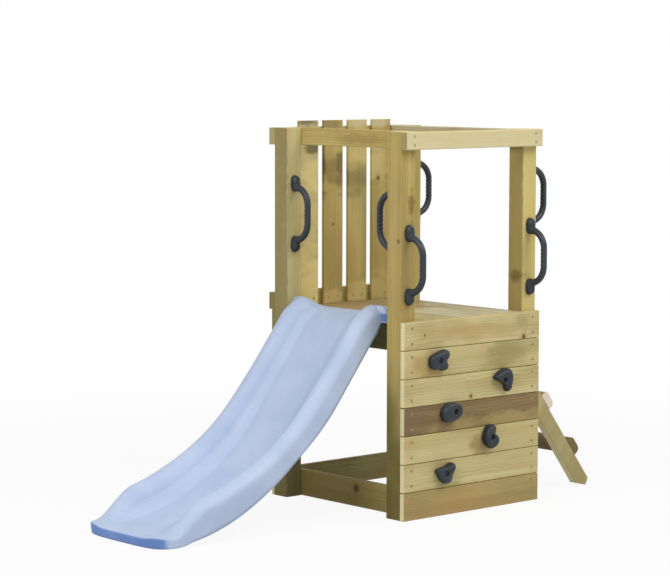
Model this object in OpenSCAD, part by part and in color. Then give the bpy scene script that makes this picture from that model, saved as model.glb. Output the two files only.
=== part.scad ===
// Wooden climbing frame for small children: four square posts carry a low deck,
// with a moulded slide on one side, a plank climbing wall with holds on the next,
// a rung ladder opposite the slide and an open slatted back.
// Slide side is -X, ladder side is +X, climbing wall is -Y, slatted back is +Y.

/* [Tower] */
// Side of the square posts
post_side = 68; // [60:1:80]
// Height of the posts
post_height = 1313; // [1250:1:1500]
// Outer size of the tower from slide side to ladder side
tower_x = 650; // [620:1:800]
// Outer size of the tower from climbing wall to slatted back
tower_y = 656; // [630:1:800]
// Height of the deck surface above the ground
deck_top = 674; // [640:1:700]
// Radius of the rounded long edges of the timber
edge_round = 3.5; // [1:0.5:5]
// Bevel at the sawn ends of the timber
end_bevel = 1.5; // [0.5:0.5:3]

/* [Top rails] */
// Height of the top rails
rail_height = 60; // [45:1:75]
// Thickness of the top rails
rail_thick = 30; // [22:1:40]
// Height of the lower back rail's underside below the deck surface
lower_rail_drop = 6; // [0:1:10]

/* [Climbing wall] */
// Height of one plank
plank_height = 95; // [85:1:96]
// Thickness of the planks, bearers and slide foot rail
plank_thick = 22; // [18:1:28]
// Gap between the planks
plank_gap = 1.6; // [0.5:0.1:3]
// Distance of each plank screw from the plank's middle line
plank_screw_spread = 26; // [12:1:30]

/* [Slatted back] */
// Width of one slat
slat_width = 90; // [70:1:100]
// Thickness of the slats
slat_thick = 15; // [12:1:20]
// Gap between the slats
slat_gap = 27; // [15:1:30]
// How far the slats stand above the posts
slat_rise = 23; // [0:1:40]

/* [Deck] */
// Width of one deck board
board_width = 95; // [80:1:98]
// Thickness of the deck boards, back apron and back foot rail
board_thick = 15; // [12:1:22]
// Height of the bearers under the deck
bearer_height = 95; // [70:1:110]
// Height of the apron below the lower back rail
apron_height = 95; // [70:1:110]
// Height of the foot rails on the ground
foot_rail_height = 95; // [70:1:110]

/* [Ladder] */
// Slope of the ladder from the ground
ladder_angle = 52.5; // [48:0.5:58]
// Depth of the ladder stringers
stringer_depth = 60; // [50:1:70]
// Thickness of the ladder stringers
stringer_thick = 30; // [22:1:40]
// Height on the deck posts where the stringers' front edge meets the inner post face
stringer_top = 584; // [500:1:600]
// Height of the toe cut at the stringers' front edge
toe_height = 26; // [10:1:40]
// Lift of the stringers' heel off the ground
heel_lift = 12; // [0:1:20]
// Depth of one rung along the slope
rung_depth = 68; // [50:1:95]
// Thickness of one rung
rung_thick = 30; // [22:1:35]
// Distance of the first rung's middle from the top of the stringers along the slope
rung_first = 101; // [60:1:130]
// Distance between the rungs along the slope
rung_pitch = 226; // [180:1:270]
// Rounding of the rungs' outer edges
rung_round = 18; // [8:1:20]

/* [Slide] */
// Slope of the slide's straight run
slide_angle = 52; // [45:0.5:56]
// Bend radius at the top of the slide
crest_radius = 120; // [90:5:150]
// Bend radius at the foot of the slide
foot_radius = 800; // [600:10:820]
// Slope of the slide's exit
exit_angle = 8; // [5:0.5:12]
// Length of the exit up to the lip
exit_length = 122; // [90:1:160]
// Height of the sliding surface at the lip
lip_height = 30; // [25:1:45]
// Length of the slide's head that lies behind the posts' inner faces
head_overlap = 18; // [10:1:30]
// Height of the sliding surface above the deck at the head
head_rise = 14; // [10:1:20]
// Half of the slide's outer width
slide_half = 216; // [190:1:230]
// Half of the head's outer width between the posts
head_half = 245; // [232:1:250]
// Length of the flat part of the head
head_flat = 44; // [30:1:50]
// Distance of the head's shoulders in from the posts' outer faces
head_shoulder = 14; // [8:1:24]
// Half of the flat sliding surface's width
bed_half = 100; // [50:1:120]
// Width of one rounded side rim from its crest to its outer face
rim_half = 38; // [25:1:45]
// Height of the rims above the sliding surface on the upper run
rim_upper = 40; // [30:1:55]
// Height of the rims above the sliding surface on the lower bend
rim_lower = 81; // [50:1:90]
// Depth of the outer skirt below the sliding surface on the upper run
skirt_upper = 47; // [30:1:55]
// Depth of the outer skirt below the sliding surface on the lower bend
skirt_lower = 21; // [15:1:40]
// Depth of the outer skirt below the sliding surface where the exit starts
skirt_foot = 31; // [20:1:34]
// Height of the rims left at the lip
rim_lip = 9; // [4:1:14]
// Lift of the lip's corners off the ground
corner_lift = 5; // [2:1:10]
// Distance of each slide screw from the slide's middle line
slide_screw_spread = 50; // [20:1:60]
// Wall thickness of the slide
slide_wall = 4.5; // [3.5:0.5:6]

/* [Handles] */
// Overall height of one handle
handle_height = 272; // [240:1:300]
// Distance of the grip's middle from the post
handle_reach = 72; // [55:1:85]
// Diameter of the grip
grip_d = 23; // [18:0.5:28]
// Height of one handle foot
handle_foot_height = 55; // [45:1:65]
// Width of one handle foot
handle_foot_width = 34; // [26:1:40]
// Thickness of one handle foot
handle_foot_thick = 20; // [10:1:26]
// Distance of the grip's arms from the handle's ends
handle_arm_inset = 38; // [30:1:45]
// Distance of the handle screws from the handle's ends
handle_screw_inset = 14; // [11:1:16]
// Bend radius at the grip's ends
handle_bend = 60; // [45:1:66]
// Middle height of the handles beside the slide
handle_z_slide = 1011; // [900:1:1100]
// Middle height of the handles above the climbing wall
handle_z_wall = 866; // [830:1:1000]
// Middle height of the handles beside the ladder
handle_z_ladder = 1078; // [950:1:1100]

/* [Climbing holds] */
// Width of the climbing holds, which their shapes follow
hold_width = 90; // [70:1:100]
// Height of a climbing hold off the wall
hold_height = 38; // [28:1:48]
// Diameter of the hold bolts
hold_bolt_d = 8; // [6:1:10]
// Head diameter of the hold bolts
hold_bolt_head_d = 17; // [13:1:18]
// Head height of the hold bolts
hold_bolt_head_h = 5; // [4:0.5:6]

/* [Screws] */
// Shank diameter of the wood screws
screw_d = 5; // [4:0.5:6]
// Head diameter of the wood screws
screw_head_d = 10; // [8:0.5:11]
// Depth of the wood screws' countersunk head
screw_head_h = 3; // [2.5:0.5:4]
// Length of the screws into the posts and stringers
long_screw = 70; // [60:1:75]
// Length of the screws through slats, deck boards and handle feet
short_screw = 40; // [30:1:44]
// Clearance round screws and bolts
screw_clear = 0.2; // [0.1:0.1:0.3]

/* [Hidden] */
$fn = 32;
wood = "#b9a56c";
wood_dark = "#8f7a48";
plastic_blue = "#b6c7e5";
plastic_dark = "#3b424a";
zinc = "#a9a593";

// Counts of the repeated boards
plank_count = 7;
slat_count = 4;
board_count = 5;
rung_count = 3;

inner_x = tower_x - post_side;
inner_y = tower_y - post_side;
wall_pitch = plank_height + plank_gap;
slat_pitch = slat_width + slat_gap;
slat_field = slat_count * slat_width + (slat_count - 1) * slat_gap;
slat_start = (tower_x - slat_field) / 2;
board_bottom = deck_top - board_thick;
board_pitch = (inner_x - post_side - board_width) / (board_count - 1);
rail_bottom = post_height - rail_height;
lower_rail_bottom = deck_top - lower_rail_drop;
bearer_bottom = board_bottom - bearer_height;

// Ladder side view: the front edge runs down from the inner post face
ladder_run = stringer_top / tan(ladder_angle);
ladder_length = stringer_top / sin(ladder_angle);
ladder_front_x = inner_x + ladder_run;
toe_x = ladder_front_x - toe_height / tan(ladder_angle);
toe_back = toe_height / 2;
stringer_drop = stringer_depth / cos(ladder_angle);
stringer_back = stringer_depth / sin(ladder_angle);

// Slide path: flat head, crest bend, straight run, foot bend and exit
bed_top = deck_top + head_rise;
head_end_x = post_side + head_overlap;
exit_drop = exit_length * tan(exit_angle);
crest_drop = crest_radius * (1 - cos(slide_angle));
foot_drop = foot_radius * (cos(exit_angle) - cos(slide_angle));
straight_drop = bed_top - lip_height - exit_drop - crest_drop - foot_drop;
straight_length = straight_drop / sin(slide_angle);
crest_length = crest_radius * slide_angle * PI / 180;
foot_length = foot_radius * (slide_angle - exit_angle) * PI / 180;
crest_x = head_end_x - head_flat;
straight_x = crest_x - crest_radius * sin(slide_angle);
foot_x = straight_x - straight_length * cos(slide_angle);
exit_x = foot_x - foot_radius * (sin(slide_angle) - sin(exit_angle));
slide_tip_x = exit_x - exit_length;
slide_mid_y = tower_y / 2;

// Slide shaping: gap past the rims at the head, and how far along a bend each change reaches
rim_end_gap = 6;
rim_growth_from = 0.4;
rim_growth_share = 0.72;
rim_fade_before = 80;
rim_fade_length = 150;
rim_fade_bias = 1.6;
skirt_drop_share = 0.8;
skirt_growth_from = 0.75;
skirt_growth_share = 0.27;
skirt_foot_from = 0.4;
landing_share = 0.55;
lip_solid_from = 0.6;
lip_solid_to = 0.8;
ledge_share = 0.5;
ledge_rise = 0.35;
rim_round_share = 0.8;
edge_fall = 1;
lip_squareness = 4.5;
lip_corner = 0.985;
floor_squareness = 4;

handle_depth = handle_reach + grip_d / 2;
box_min_y = -max(handle_depth, plank_thick + hold_height);
centre_x = (toe_x + slide_tip_x) / 2;
centre_y = (box_min_y + tower_y + rail_thick) / 2;

// Driving directions of screws, as turns of an upward axis
TO_X = [0, 90, 0];
TO_MINUS_X = [0, -90, 0];
TO_Y = [-90, 0, 0];
TO_MINUS_Y = [90, 0, 0];
DOWN = [180, 0, 0];
INTO_SLOPE = [0, 180 + ladder_angle, 0];

// Turns that set a fitting drawn on the ground plane against a post or wall face
ON_WALL_SIDE = [90, 0, 0];
ON_BACK_SIDE = [90, 0, 180];
ON_LADDER_SIDE = [90, 0, 90];

function ease(t) = let (c = min(1, max(0, t))) c * c * (3 - 2 * c);
function mix(a, b, t) = a + (b - a) * t;
function pair(middle, spread) = [middle - spread, middle + spread];

// The frame is drawn from the ground corner of the wall-side slide post
module placed() translate([-centre_x, -centre_y, 0]) children();

// A flat outline with true round corners
module round_rectangle(width, height, radius) {
    translate([radius, 0]) square([width - 2 * radius, height]);
    translate([0, radius]) square([width, height - 2 * radius]);
    for (x = pair(width / 2, width / 2 - radius), y = pair(height / 2, height / 2 - radius))
        translate([x, y]) circle(radius);
}

// An outline whose four corners are cut back, for bevelled ends
module bevelled_outline(width, length, bevel)
    polygon([[bevel, 0], [width - bevel, 0], [width, bevel], [width, length - bevel],
        [width - bevel, length], [bevel, length], [0, length - bevel], [0, bevel]]);

// Timber standing along Z with rounded long edges and bevelled ends
module timber(width, depth, length) intersection() {
    linear_extrude(length) round_rectangle(width, depth, edge_round);
    translate([0, depth, 0]) rotate([90, 0, 0])
        linear_extrude(depth) bevelled_outline(width, length, end_bevel);
    rotate([90, 0, 90]) linear_extrude(width) bevelled_outline(depth, length, end_bevel);
}

// Timber lying along X or Y, from its lowest corner
module timber_x(at, length, depth, height)
    translate(at) rotate([90, 0, 90]) timber(depth, height, length);
module timber_y(at, length, width, height)
    translate(at + [width, 0, 0]) rotate([90, 0, 180]) timber(width, height, length);

// A countersunk wood screw, driven in from a point on the outer surface
module screw(place, length) translate(place[0]) rotate(place[1]) {
    cylinder(h = screw_head_h, d1 = screw_head_d, d2 = screw_d);
    translate([0, 0, screw_head_h]) cylinder(h = length - screw_head_h, d = screw_d);
}

// The hole that the same screw leaves in each piece on its way
module screw_hole(place, length) translate(place[0]) rotate(place[1]) {
    cylinder(h = screw_head_h, d1 = screw_head_d + 2 * screw_clear, d2 = screw_d + 2 * screw_clear);
    translate([0, 0, -screw_clear])
        cylinder(h = length + 2 * screw_clear, d = screw_d + 2 * screw_clear);
}

module screws(places, length) color(zinc) placed()
    for (place = places) screw(place, length);

module screw_holes(places, length) for (place = places) screw_hole(place, length);

// Places of the screws: a point on the outer surface and a driving direction
post_mid_x = pair(tower_x / 2, tower_x / 2 - post_side / 2);
post_mid_y = pair(tower_y / 2, tower_y / 2 - post_side / 2);
rail_mid_z = rail_bottom + rail_height / 2;
lower_rail_mid_z = lower_rail_bottom + rail_height / 2;
bearer_mid_z = bearer_bottom + bearer_height / 2;
apron_mid_z = lower_rail_bottom - apron_height / 2;
foot_mid_z = foot_rail_height / 2;
cross_bearer_y = pair(tower_y / 2, tower_y / 2 - post_side - plank_thick / 2);
stringer_mid_y = pair(tower_y / 2, tower_y / 2 - post_side - stringer_thick / 2);

function plank_z(i) = (plank_count - i) * wall_pitch;
function plank_places(i, side) = [for (z = pair(plank_z(i) + plank_height / 2, plank_screw_spread))
    [[post_mid_x[side], -plank_thick, z], TO_Y]];
function all_plank_places(side) = [for (i = [1 : plank_count]) each plank_places(i, side)];

function wall_rail_places(side) = [for (z = pair(rail_mid_z, rail_height / 4))
    [[post_mid_x[side], -rail_thick, z], TO_Y]];
function back_rail_places(side, mid_z) = [for (z = pair(mid_z, rail_height / 4))
    [[post_mid_x[side], tower_y + rail_thick, z], TO_MINUS_Y]];
function slide_rail_places(side) = [for (y = pair(post_mid_y[side], post_side / 4))
    [[post_side + rail_thick, y, rail_mid_z], TO_MINUS_X]];
function ladder_rail_places(side) = [for (y = pair(post_mid_y[side], post_side / 4))
    [[inner_x - rail_thick, y, rail_mid_z], TO_X]];

function slide_bearer_places(side) = [for (z = pair(bearer_mid_z, bearer_height / 4))
    [[post_side + plank_thick, post_mid_y[side], z], TO_MINUS_X]];
function ladder_bearer_places(side) = [for (z = pair(bearer_mid_z, bearer_height / 4))
    [[inner_x - plank_thick, post_mid_y[side], z], TO_X]];
function cross_slide_places(side) = [for (z = pair(bearer_mid_z, bearer_height / 8))
    [[post_side, cross_bearer_y[side], z], TO_X]];
function cross_ladder_places(side) = [for (z = pair(bearer_mid_z, bearer_height / 8))
    [[inner_x, cross_bearer_y[side], z], TO_MINUS_X]];

function foot_slide_places(side) = [for (z = pair(foot_mid_z, foot_rail_height / 8))
    [[post_side + plank_thick, post_mid_y[side], z], TO_MINUS_X]];
function back_board_places(side, mid_z, height) = [for (z = pair(mid_z, height / 4))
    [[post_mid_x[side], tower_y + board_thick, z], TO_MINUS_Y]];
function apron_places(side) = back_board_places(side, apron_mid_z, apron_height);
function foot_back_places(side) = back_board_places(side, foot_mid_z, foot_rail_height);

// Deck screws stand one head clear of the side bearers
board_screw_spread = board_width / 2 - plank_thick - screw_head_d;
function board_x(i) = post_side + (i - 1) * board_pitch;
function board_places(i, side) = [for (x = pair(board_x(i) + board_width / 2, board_screw_spread))
    [[x, cross_bearer_y[side], deck_top], DOWN]];
function slat_x(i) = slat_start + (i - 1) * slat_pitch;
function slat_places(i, mid_z) = [for (x = pair(slat_x(i) + slat_width / 2, slat_width / 4))
    [[x, tower_y - slat_thick, mid_z], TO_Y]];

function on_slope(along, off) = [
    ladder_front_x - along * cos(ladder_angle) + off * sin(ladder_angle),
    along * sin(ladder_angle) + off * cos(ladder_angle)];
function rung_along(i) = ladder_length - rung_first - (i - 1) * rung_pitch;
function rung_places(i, side) = [for (along = pair(rung_along(i), rung_depth / 6))
    let (p = on_slope(along, rung_thick)) [[p[0], stringer_mid_y[side], p[1]], INTO_SLOPE]];
function stringer_mid_z(x) = stringer_top - (x - inner_x) * tan(ladder_angle) - stringer_drop / 2;
stringer_face_y = [post_side + stringer_thick, inner_y - stringer_thick];
function stringer_places(side) = [for (x = pair(tower_x - post_side / 2, post_side / 4))
    [[x, stringer_face_y[side], stringer_mid_z(x)], side == 0 ? TO_MINUS_Y : TO_Y]];

slide_screw_x = post_side + head_overlap / 2;
slide_places = [for (y = pair(slide_mid_y, slide_screw_spread)) [[slide_screw_x, y, bed_top], DOWN]];

// Handles: place, turn, and the driving direction of their screws
handle_slide_wall_seat = [[post_mid_x[0], post_side, handle_z_slide], ON_BACK_SIDE, TO_MINUS_Y];
handle_slide_back_seat = [[post_mid_x[0], inner_y, handle_z_slide], ON_WALL_SIDE, TO_Y];
handle_wall_slide_seat = [[post_mid_x[0], 0, handle_z_wall], ON_WALL_SIDE, TO_Y];
handle_wall_ladder_seat = [[post_mid_x[1], 0, handle_z_wall], ON_WALL_SIDE, TO_Y];
handle_ladder_wall_seat = [[tower_x, post_mid_y[0], handle_z_ladder], ON_LADDER_SIDE, TO_MINUS_X];
handle_ladder_back_seat = [[tower_x, post_mid_y[1], handle_z_ladder], ON_LADDER_SIDE, TO_MINUS_X];
handle_screw_z = handle_height / 2 - handle_screw_inset;
function outward(turn) = turn == TO_Y ? [0, -1, 0] : turn == TO_MINUS_Y ? [0, 1, 0] : [1, 0, 0];
function handle_places(seat) = [for (z = pair(0, handle_screw_z))
    [seat[0] + outward(seat[2]) * handle_foot_thick + [0, 0, z], seat[2]]];

// Posts
module post(x, y) translate([x, y, 0]) timber(post_side, post_side, post_height);

module post_slide_wall() color(wood) placed() difference() {
    post(0, 0);
    screw_holes(concat(all_plank_places(0), wall_rail_places(0), slide_rail_places(0)), long_screw);
    screw_holes(concat(slide_bearer_places(0), foot_slide_places(0)), long_screw);
    screw_holes(handle_places(handle_slide_wall_seat), short_screw);
    screw_holes(handle_places(handle_wall_slide_seat), short_screw);
}

module post_slide_back() color(wood) placed() difference() {
    post(0, inner_y);
    screw_holes(concat(back_rail_places(0, rail_mid_z), back_rail_places(0, lower_rail_mid_z)), long_screw);
    screw_holes(concat(slide_rail_places(1), slide_bearer_places(1), foot_slide_places(1)), long_screw);
    screw_holes(concat(apron_places(0), foot_back_places(0)), long_screw);
    screw_holes(handle_places(handle_slide_back_seat), short_screw);
}

module post_ladder_wall() color(wood) placed() difference() {
    post(inner_x, 0);
    screw_holes(concat(all_plank_places(1), wall_rail_places(1), ladder_rail_places(0)), long_screw);
    screw_holes(concat(ladder_bearer_places(0), stringer_places(0)), long_screw);
    screw_holes(handle_places(handle_wall_ladder_seat), short_screw);
    screw_holes(handle_places(handle_ladder_wall_seat), short_screw);
}

module post_ladder_back() color(wood) placed() difference() {
    post(inner_x, inner_y);
    screw_holes(concat(back_rail_places(1, rail_mid_z), back_rail_places(1, lower_rail_mid_z)), long_screw);
    screw_holes(concat(ladder_rail_places(1), ladder_bearer_places(1), stringer_places(1)), long_screw);
    screw_holes(concat(apron_places(1), foot_back_places(1)), long_screw);
    screw_holes(handle_places(handle_ladder_back_seat), short_screw);
}

// Rails round the top of the posts and along the foot of the slats
module top_rail_wall() color(wood) placed() difference() {
    timber_x([0, -rail_thick, rail_bottom], tower_x, rail_thick, rail_height);
    screw_holes(concat(wall_rail_places(0), wall_rail_places(1)), long_screw);
}

module back_rail(bottom, mid_z) difference() {
    timber_x([0, tower_y, bottom], tower_x, rail_thick, rail_height);
    screw_holes(concat(back_rail_places(0, mid_z), back_rail_places(1, mid_z)), long_screw);
    screw_holes([for (i = [1 : slat_count]) each slat_places(i, mid_z)], short_screw);
}

module top_rail_back() color(wood) placed() back_rail(rail_bottom, rail_mid_z);

module lower_rail_back() color(wood) placed() back_rail(lower_rail_bottom, lower_rail_mid_z);

module top_rail_slide() color(wood) placed() difference() {
    timber_y([post_side, 0, rail_bottom], tower_y, rail_thick, rail_height);
    screw_holes(concat(slide_rail_places(0), slide_rail_places(1)), long_screw);
}

module top_rail_ladder() color(wood) placed() difference() {
    timber_y([inner_x - rail_thick, 0, rail_bottom], tower_y, rail_thick, rail_height);
    screw_holes(concat(ladder_rail_places(0), ladder_rail_places(1)), long_screw);
}

module back_slat(i) color(wood) placed() difference() {
    translate([slat_x(i), tower_y - slat_thick, deck_top])
        timber(slat_width, slat_thick, post_height + slat_rise - deck_top);
    screw_holes(concat(slat_places(i, rail_mid_z), slat_places(i, lower_rail_mid_z)), short_screw);
}

// Climbing wall planks, counted from the top, with a bolt hole for a hold
module wall_plank(i) color(i == 4 || i == 7 ? wood_dark : wood) placed() difference() {
    timber_x([0, -plank_thick, plank_z(i)], tower_x, plank_thick, plank_height);
    screw_holes(concat(plank_places(i, 0), plank_places(i, 1)), long_screw);
    for (seat = hold_seats) if (seat[0] == i)
        translate(hold_place(seat) + [0, plank_thick + screw_clear, 0]) rotate(ON_WALL_SIDE)
            cylinder(h = plank_thick + 2 * screw_clear, d = hold_bolt_d + 2 * screw_clear);
}

// Deck boards, the bearers under them and the rails on the ground
module deck_board(i) color(wood) placed() difference() {
    timber_y([board_x(i), 0, board_bottom], tower_y, board_width, board_thick);
    screw_holes(concat(board_places(i, 0), board_places(i, 1)), short_screw);
    if (i == 1) screw_holes(slide_places, short_screw);
}

module bearer_slide() color(wood) placed() difference() {
    timber_y([post_side, 0, bearer_bottom], tower_y, plank_thick, bearer_height);
    screw_holes(concat(slide_bearer_places(0), slide_bearer_places(1)), long_screw);
    screw_holes(concat(cross_slide_places(0), cross_slide_places(1)), long_screw);
    screw_holes(slide_places, short_screw);
}

module bearer_ladder() color(wood) placed() difference() {
    timber_y([inner_x - plank_thick, 0, bearer_bottom], tower_y, plank_thick, bearer_height);
    screw_holes(concat(ladder_bearer_places(0), ladder_bearer_places(1)), long_screw);
    screw_holes(concat(cross_ladder_places(0), cross_ladder_places(1)), long_screw);
}

module cross_bearer(side) difference() {
    timber_x([post_side + plank_thick, cross_bearer_y[side] - plank_thick / 2, bearer_bottom],
        inner_x - post_side - 2 * plank_thick, plank_thick, bearer_height);
    screw_holes(concat(cross_slide_places(side), cross_ladder_places(side)), long_screw);
    screw_holes([for (i = [1 : board_count]) each board_places(i, side)], short_screw);
}

module bearer_wall() color(wood) placed() cross_bearer(0);

module bearer_back() color(wood) placed() cross_bearer(1);

module foot_rail_slide() color(wood) placed() difference() {
    timber_y([post_side, 0, 0], tower_y, plank_thick, foot_rail_height);
    screw_holes(concat(foot_slide_places(0), foot_slide_places(1)), long_screw);
}

module foot_rail_back() color(wood) placed() difference() {
    timber_x([0, tower_y, 0], tower_x, board_thick, foot_rail_height);
    screw_holes(concat(foot_back_places(0), foot_back_places(1)), long_screw);
}

module apron_back() color(wood) placed() difference() {
    timber_x([0, tower_y, lower_rail_bottom - apron_height], tower_x, board_thick, apron_height);
    screw_holes(concat(apron_places(0), apron_places(1)), long_screw);
}

// Ladder: pieces are drawn up the slope, then off it, then across
module on_ladder() translate([ladder_front_x, 0, 0]) rotate([-90, 180 + ladder_angle, 0]) children();

module stringer_side_view() polygon([
    [inner_x, stringer_top], [toe_x, toe_height], [toe_x - toe_back, 0],
    [ladder_front_x - stringer_back - heel_lift / tan(ladder_angle), heel_lift],
    [inner_x, stringer_top - stringer_drop]]);

module ladder_stringer(side) difference() {
    y = stringer_mid_y[side] - stringer_thick / 2;
    intersection() {
        on_ladder() translate([-stringer_depth, -stringer_depth, y + stringer_thick]) rotate([0, 90, 0])
            timber(stringer_thick, stringer_depth, ladder_length + 3 * stringer_depth);
        translate([0, y + stringer_thick, 0]) rotate([90, 0, 0])
            linear_extrude(stringer_thick) stringer_side_view();
    }
    screw_holes(stringer_places(side), long_screw);
    screw_holes([for (i = [1 : rung_count]) each rung_places(i, side)], long_screw);
}

module ladder_stringer_wall() color(wood) placed() ladder_stringer(0);

module ladder_stringer_back() color(wood) placed() ladder_stringer(1);

// A rung has a flat back and two well rounded outer edges; rungs are counted from the top
module rung_outline() intersection() {
    square([rung_depth, rung_thick]);
    union() {
        square([rung_depth, rung_thick - rung_round]);
        translate([rung_round, 0]) square([rung_depth - 2 * rung_round, rung_thick]);
        for (x = pair(rung_depth / 2, rung_depth / 2 - rung_round))
            translate([x, rung_thick - rung_round]) circle(rung_round);
    }
}

module ladder_rung(i) color(wood) placed() difference() {
    on_ladder() translate([rung_along(i) - rung_depth / 2, 0, post_side])
        linear_extrude(inner_y - post_side) rung_outline();
    screw_holes(concat(rung_places(i, 0), rung_places(i, 1)), long_screw);
}

// Slide path: position and slope at a distance from the end of the head
s_crest = head_flat;
s_straight = s_crest + crest_length;
s_foot = s_straight + straight_length;
s_exit = s_foot + foot_length;
exit_z = lip_height + exit_drop;
function turned(s, start, radius) = (s - start) / radius * 180 / PI;
function path(s) =
    s <= s_crest ? [head_end_x - s, bed_top, 0]
    : s <= s_straight ? let (a = turned(s, s_crest, crest_radius))
        [crest_x - crest_radius * sin(a), bed_top - crest_radius * (1 - cos(a)), a]
    : s <= s_foot ? let (d = s - s_straight)
        [straight_x - d * cos(slide_angle), bed_top - crest_drop - d * sin(slide_angle), slide_angle]
    : s <= s_exit ? let (a = slide_angle - turned(s, s_foot, foot_radius))
        [exit_x + foot_radius * (sin(a) - sin(exit_angle)),
            exit_z + foot_radius * (cos(exit_angle) - cos(a)), a]
    : [exit_x, exit_z - (s - s_exit) * tan(exit_angle), exit_angle];

// Share of the exit that is passed, and of the lip's rounded plan at a place across
function exit_share(s) = max(0, (s - s_exit) / exit_length);
function lip_plan(across) = pow(1 - pow(abs(lip_corner * across), lip_squareness), 1 / lip_squareness);

// The rims rise out of the head, grow down the run and die away into the exit
rim_start_x = head_end_x - rim_end_gap;
function rim_rise(x) = x > 0 ? max(0, 1 - pow(x / rim_start_x, 2)) : 1;
function part_way(s, from, to) = ease((s - from) / (to - from));
function rim_growth(s) = part_way(s, s_straight + rim_growth_from * straight_length,
    s_foot + rim_growth_share * foot_length);
function rim_fade(s) = 1 - ease(pow(max(0, s - s_exit + rim_fade_before) / rim_fade_length, rim_fade_bias));
function rim_full(s) = mix(rim_upper, rim_lower, rim_growth(s)) * rim_rise(path(s)[0]);
function rim_at(s) = mix(rim_lip, rim_full(s), rim_fade(s));

// The skirt drops below the deck, thins down the run and comes to the ground along the exit
function skirt_drop(s) = ease((s - s_crest) / (skirt_drop_share * crest_length));
function skirt_growth(s) = part_way(s, s_straight + skirt_growth_from * straight_length,
    s_foot + skirt_growth_share * foot_length);
function skirt_run(s) = mix(
    mix(mix(head_rise, skirt_upper, skirt_drop(s)), skirt_lower, skirt_growth(s)),
    skirt_foot, part_way(s, s_foot + skirt_foot_from * foot_length, s_exit));
exit_gap = exit_z - skirt_foot * cos(exit_angle);
function landing(s) = mix(exit_gap, corner_lift, ease(exit_share(s) / landing_share));
function skirt_exit(s) = (path(s)[1] - landing(s)) / cos(exit_angle);
function skirt_at(s) = s <= s_exit ? skirt_run(s) : skirt_exit(s);

// The head is wider than the run, with a step at its shoulders
function half_at(s) = path(s)[0] > head_shoulder ? head_half : slide_half;

// The inner wall is a shallow ledge and then the steep side of the rim
function wall_rise(t) = t < ledge_share ? ledge_rise * t / ledge_share
    : mix(ledge_rise, 1, sin(90 * (t - ledge_share) / (1 - ledge_share)));

// Half of the cross section, from the middle outwards: bed, inner wall, round rim, skirt
bed_steps = 2;
wall_steps = 6;
round_steps = 5;
skirt_steps = 2;
function half_section(half, rim, skirt) =
    let (crest = half - rim_half, round_drop = min(rim_half, edge_fall + rim_round_share * rim))
    concat(
        [for (i = [0 : bed_steps - 1]) [bed_half * i / bed_steps, 0]],
        [for (i = [0 : wall_steps - 1]) let (t = i / wall_steps)
            [mix(bed_half, crest, t), rim * wall_rise(t)]],
        [for (i = [0 : round_steps]) let (a = 90 * i / round_steps)
            [crest + rim_half * sin(a), rim - round_drop * (1 - cos(a))]],
        [for (i = [1 : skirt_steps]) [half, mix(rim - round_drop, -skirt, i / skirt_steps)]]);
half_count = bed_steps + wall_steps + round_steps + skirt_steps;
function section(half, rim, skirt) = let (side = half_section(half, rim, skirt))
    concat([for (j = [half_count : -1 : 1]) [-side[j][0], side[j][1]]], side);

// The inside of the wall lies square to the section
function inside(points) = let (last = len(points) - 1) [for (j = [0 : last])
    let (d = points[min(last, j + 1)] - points[max(0, j - 1)])
    points[j] - slide_wall * [-d[1], d[0]] / norm(d)];

// Both ends are solid down to what they rest on
function head_solid(s) = 1 - ease((s - head_overlap) / head_overlap);
function lip_solid(s) = ease((exit_share(s) - lip_solid_from) / (lip_solid_to - lip_solid_from));
function solid_share(s) = max(head_solid(s), lip_solid(s));
function floor_under(s, share) = s < s_straight ? deck_top : corner_lift * pow(abs(share), floor_squareness);

function in_space(s, point, half) = let (p = path(s))
    [p[0] - point[1] * sin(p[2]) - exit_share(s) * exit_length * lip_plan(point[0] / half),
        slide_mid_y + point[0], p[1] + point[1] * cos(p[2])];
function outer_row(s) = let (half = half_at(s))
    [for (point = section(half, rim_at(s), skirt_at(s))) in_space(s, point, half)];
function floor_point(s, share, half) = let (p = in_space(s, [(half - slide_wall) * share, 0], half))
    [p[0], p[1], floor_under(s, share)];
function inner_row(s) = let (half = half_at(s), points = inside(section(half, rim_at(s), skirt_at(s))))
    [for (j = [0 : len(points) - 1])
        mix(in_space(s, points[j], half), floor_point(s, j / half_count - 1, half), solid_share(s))];

function steps(from, to, count) = [for (i = [0 : count - 1]) mix(from, to, i / count)];
stations = concat(steps(0, s_crest, 4), steps(s_crest, s_straight, 8), steps(s_straight, s_foot, 4),
    steps(s_foot, s_exit, 9), steps(s_exit, s_exit + exit_length, 8), [s_exit + exit_length]);
row_size = 2 * half_count + 1;
row_count = len(stations);
function outer(i, j) = i * row_size + j;
function inner(i, j) = (row_count + i) * row_size + j;

// Four-sided faces are split alike on both sides of the slide's middle
function quad(a, b, c, d, wall_side) = wall_side ? [[a, b, d], [b, c, d]] : [[a, b, c], [a, c, d]];

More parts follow.
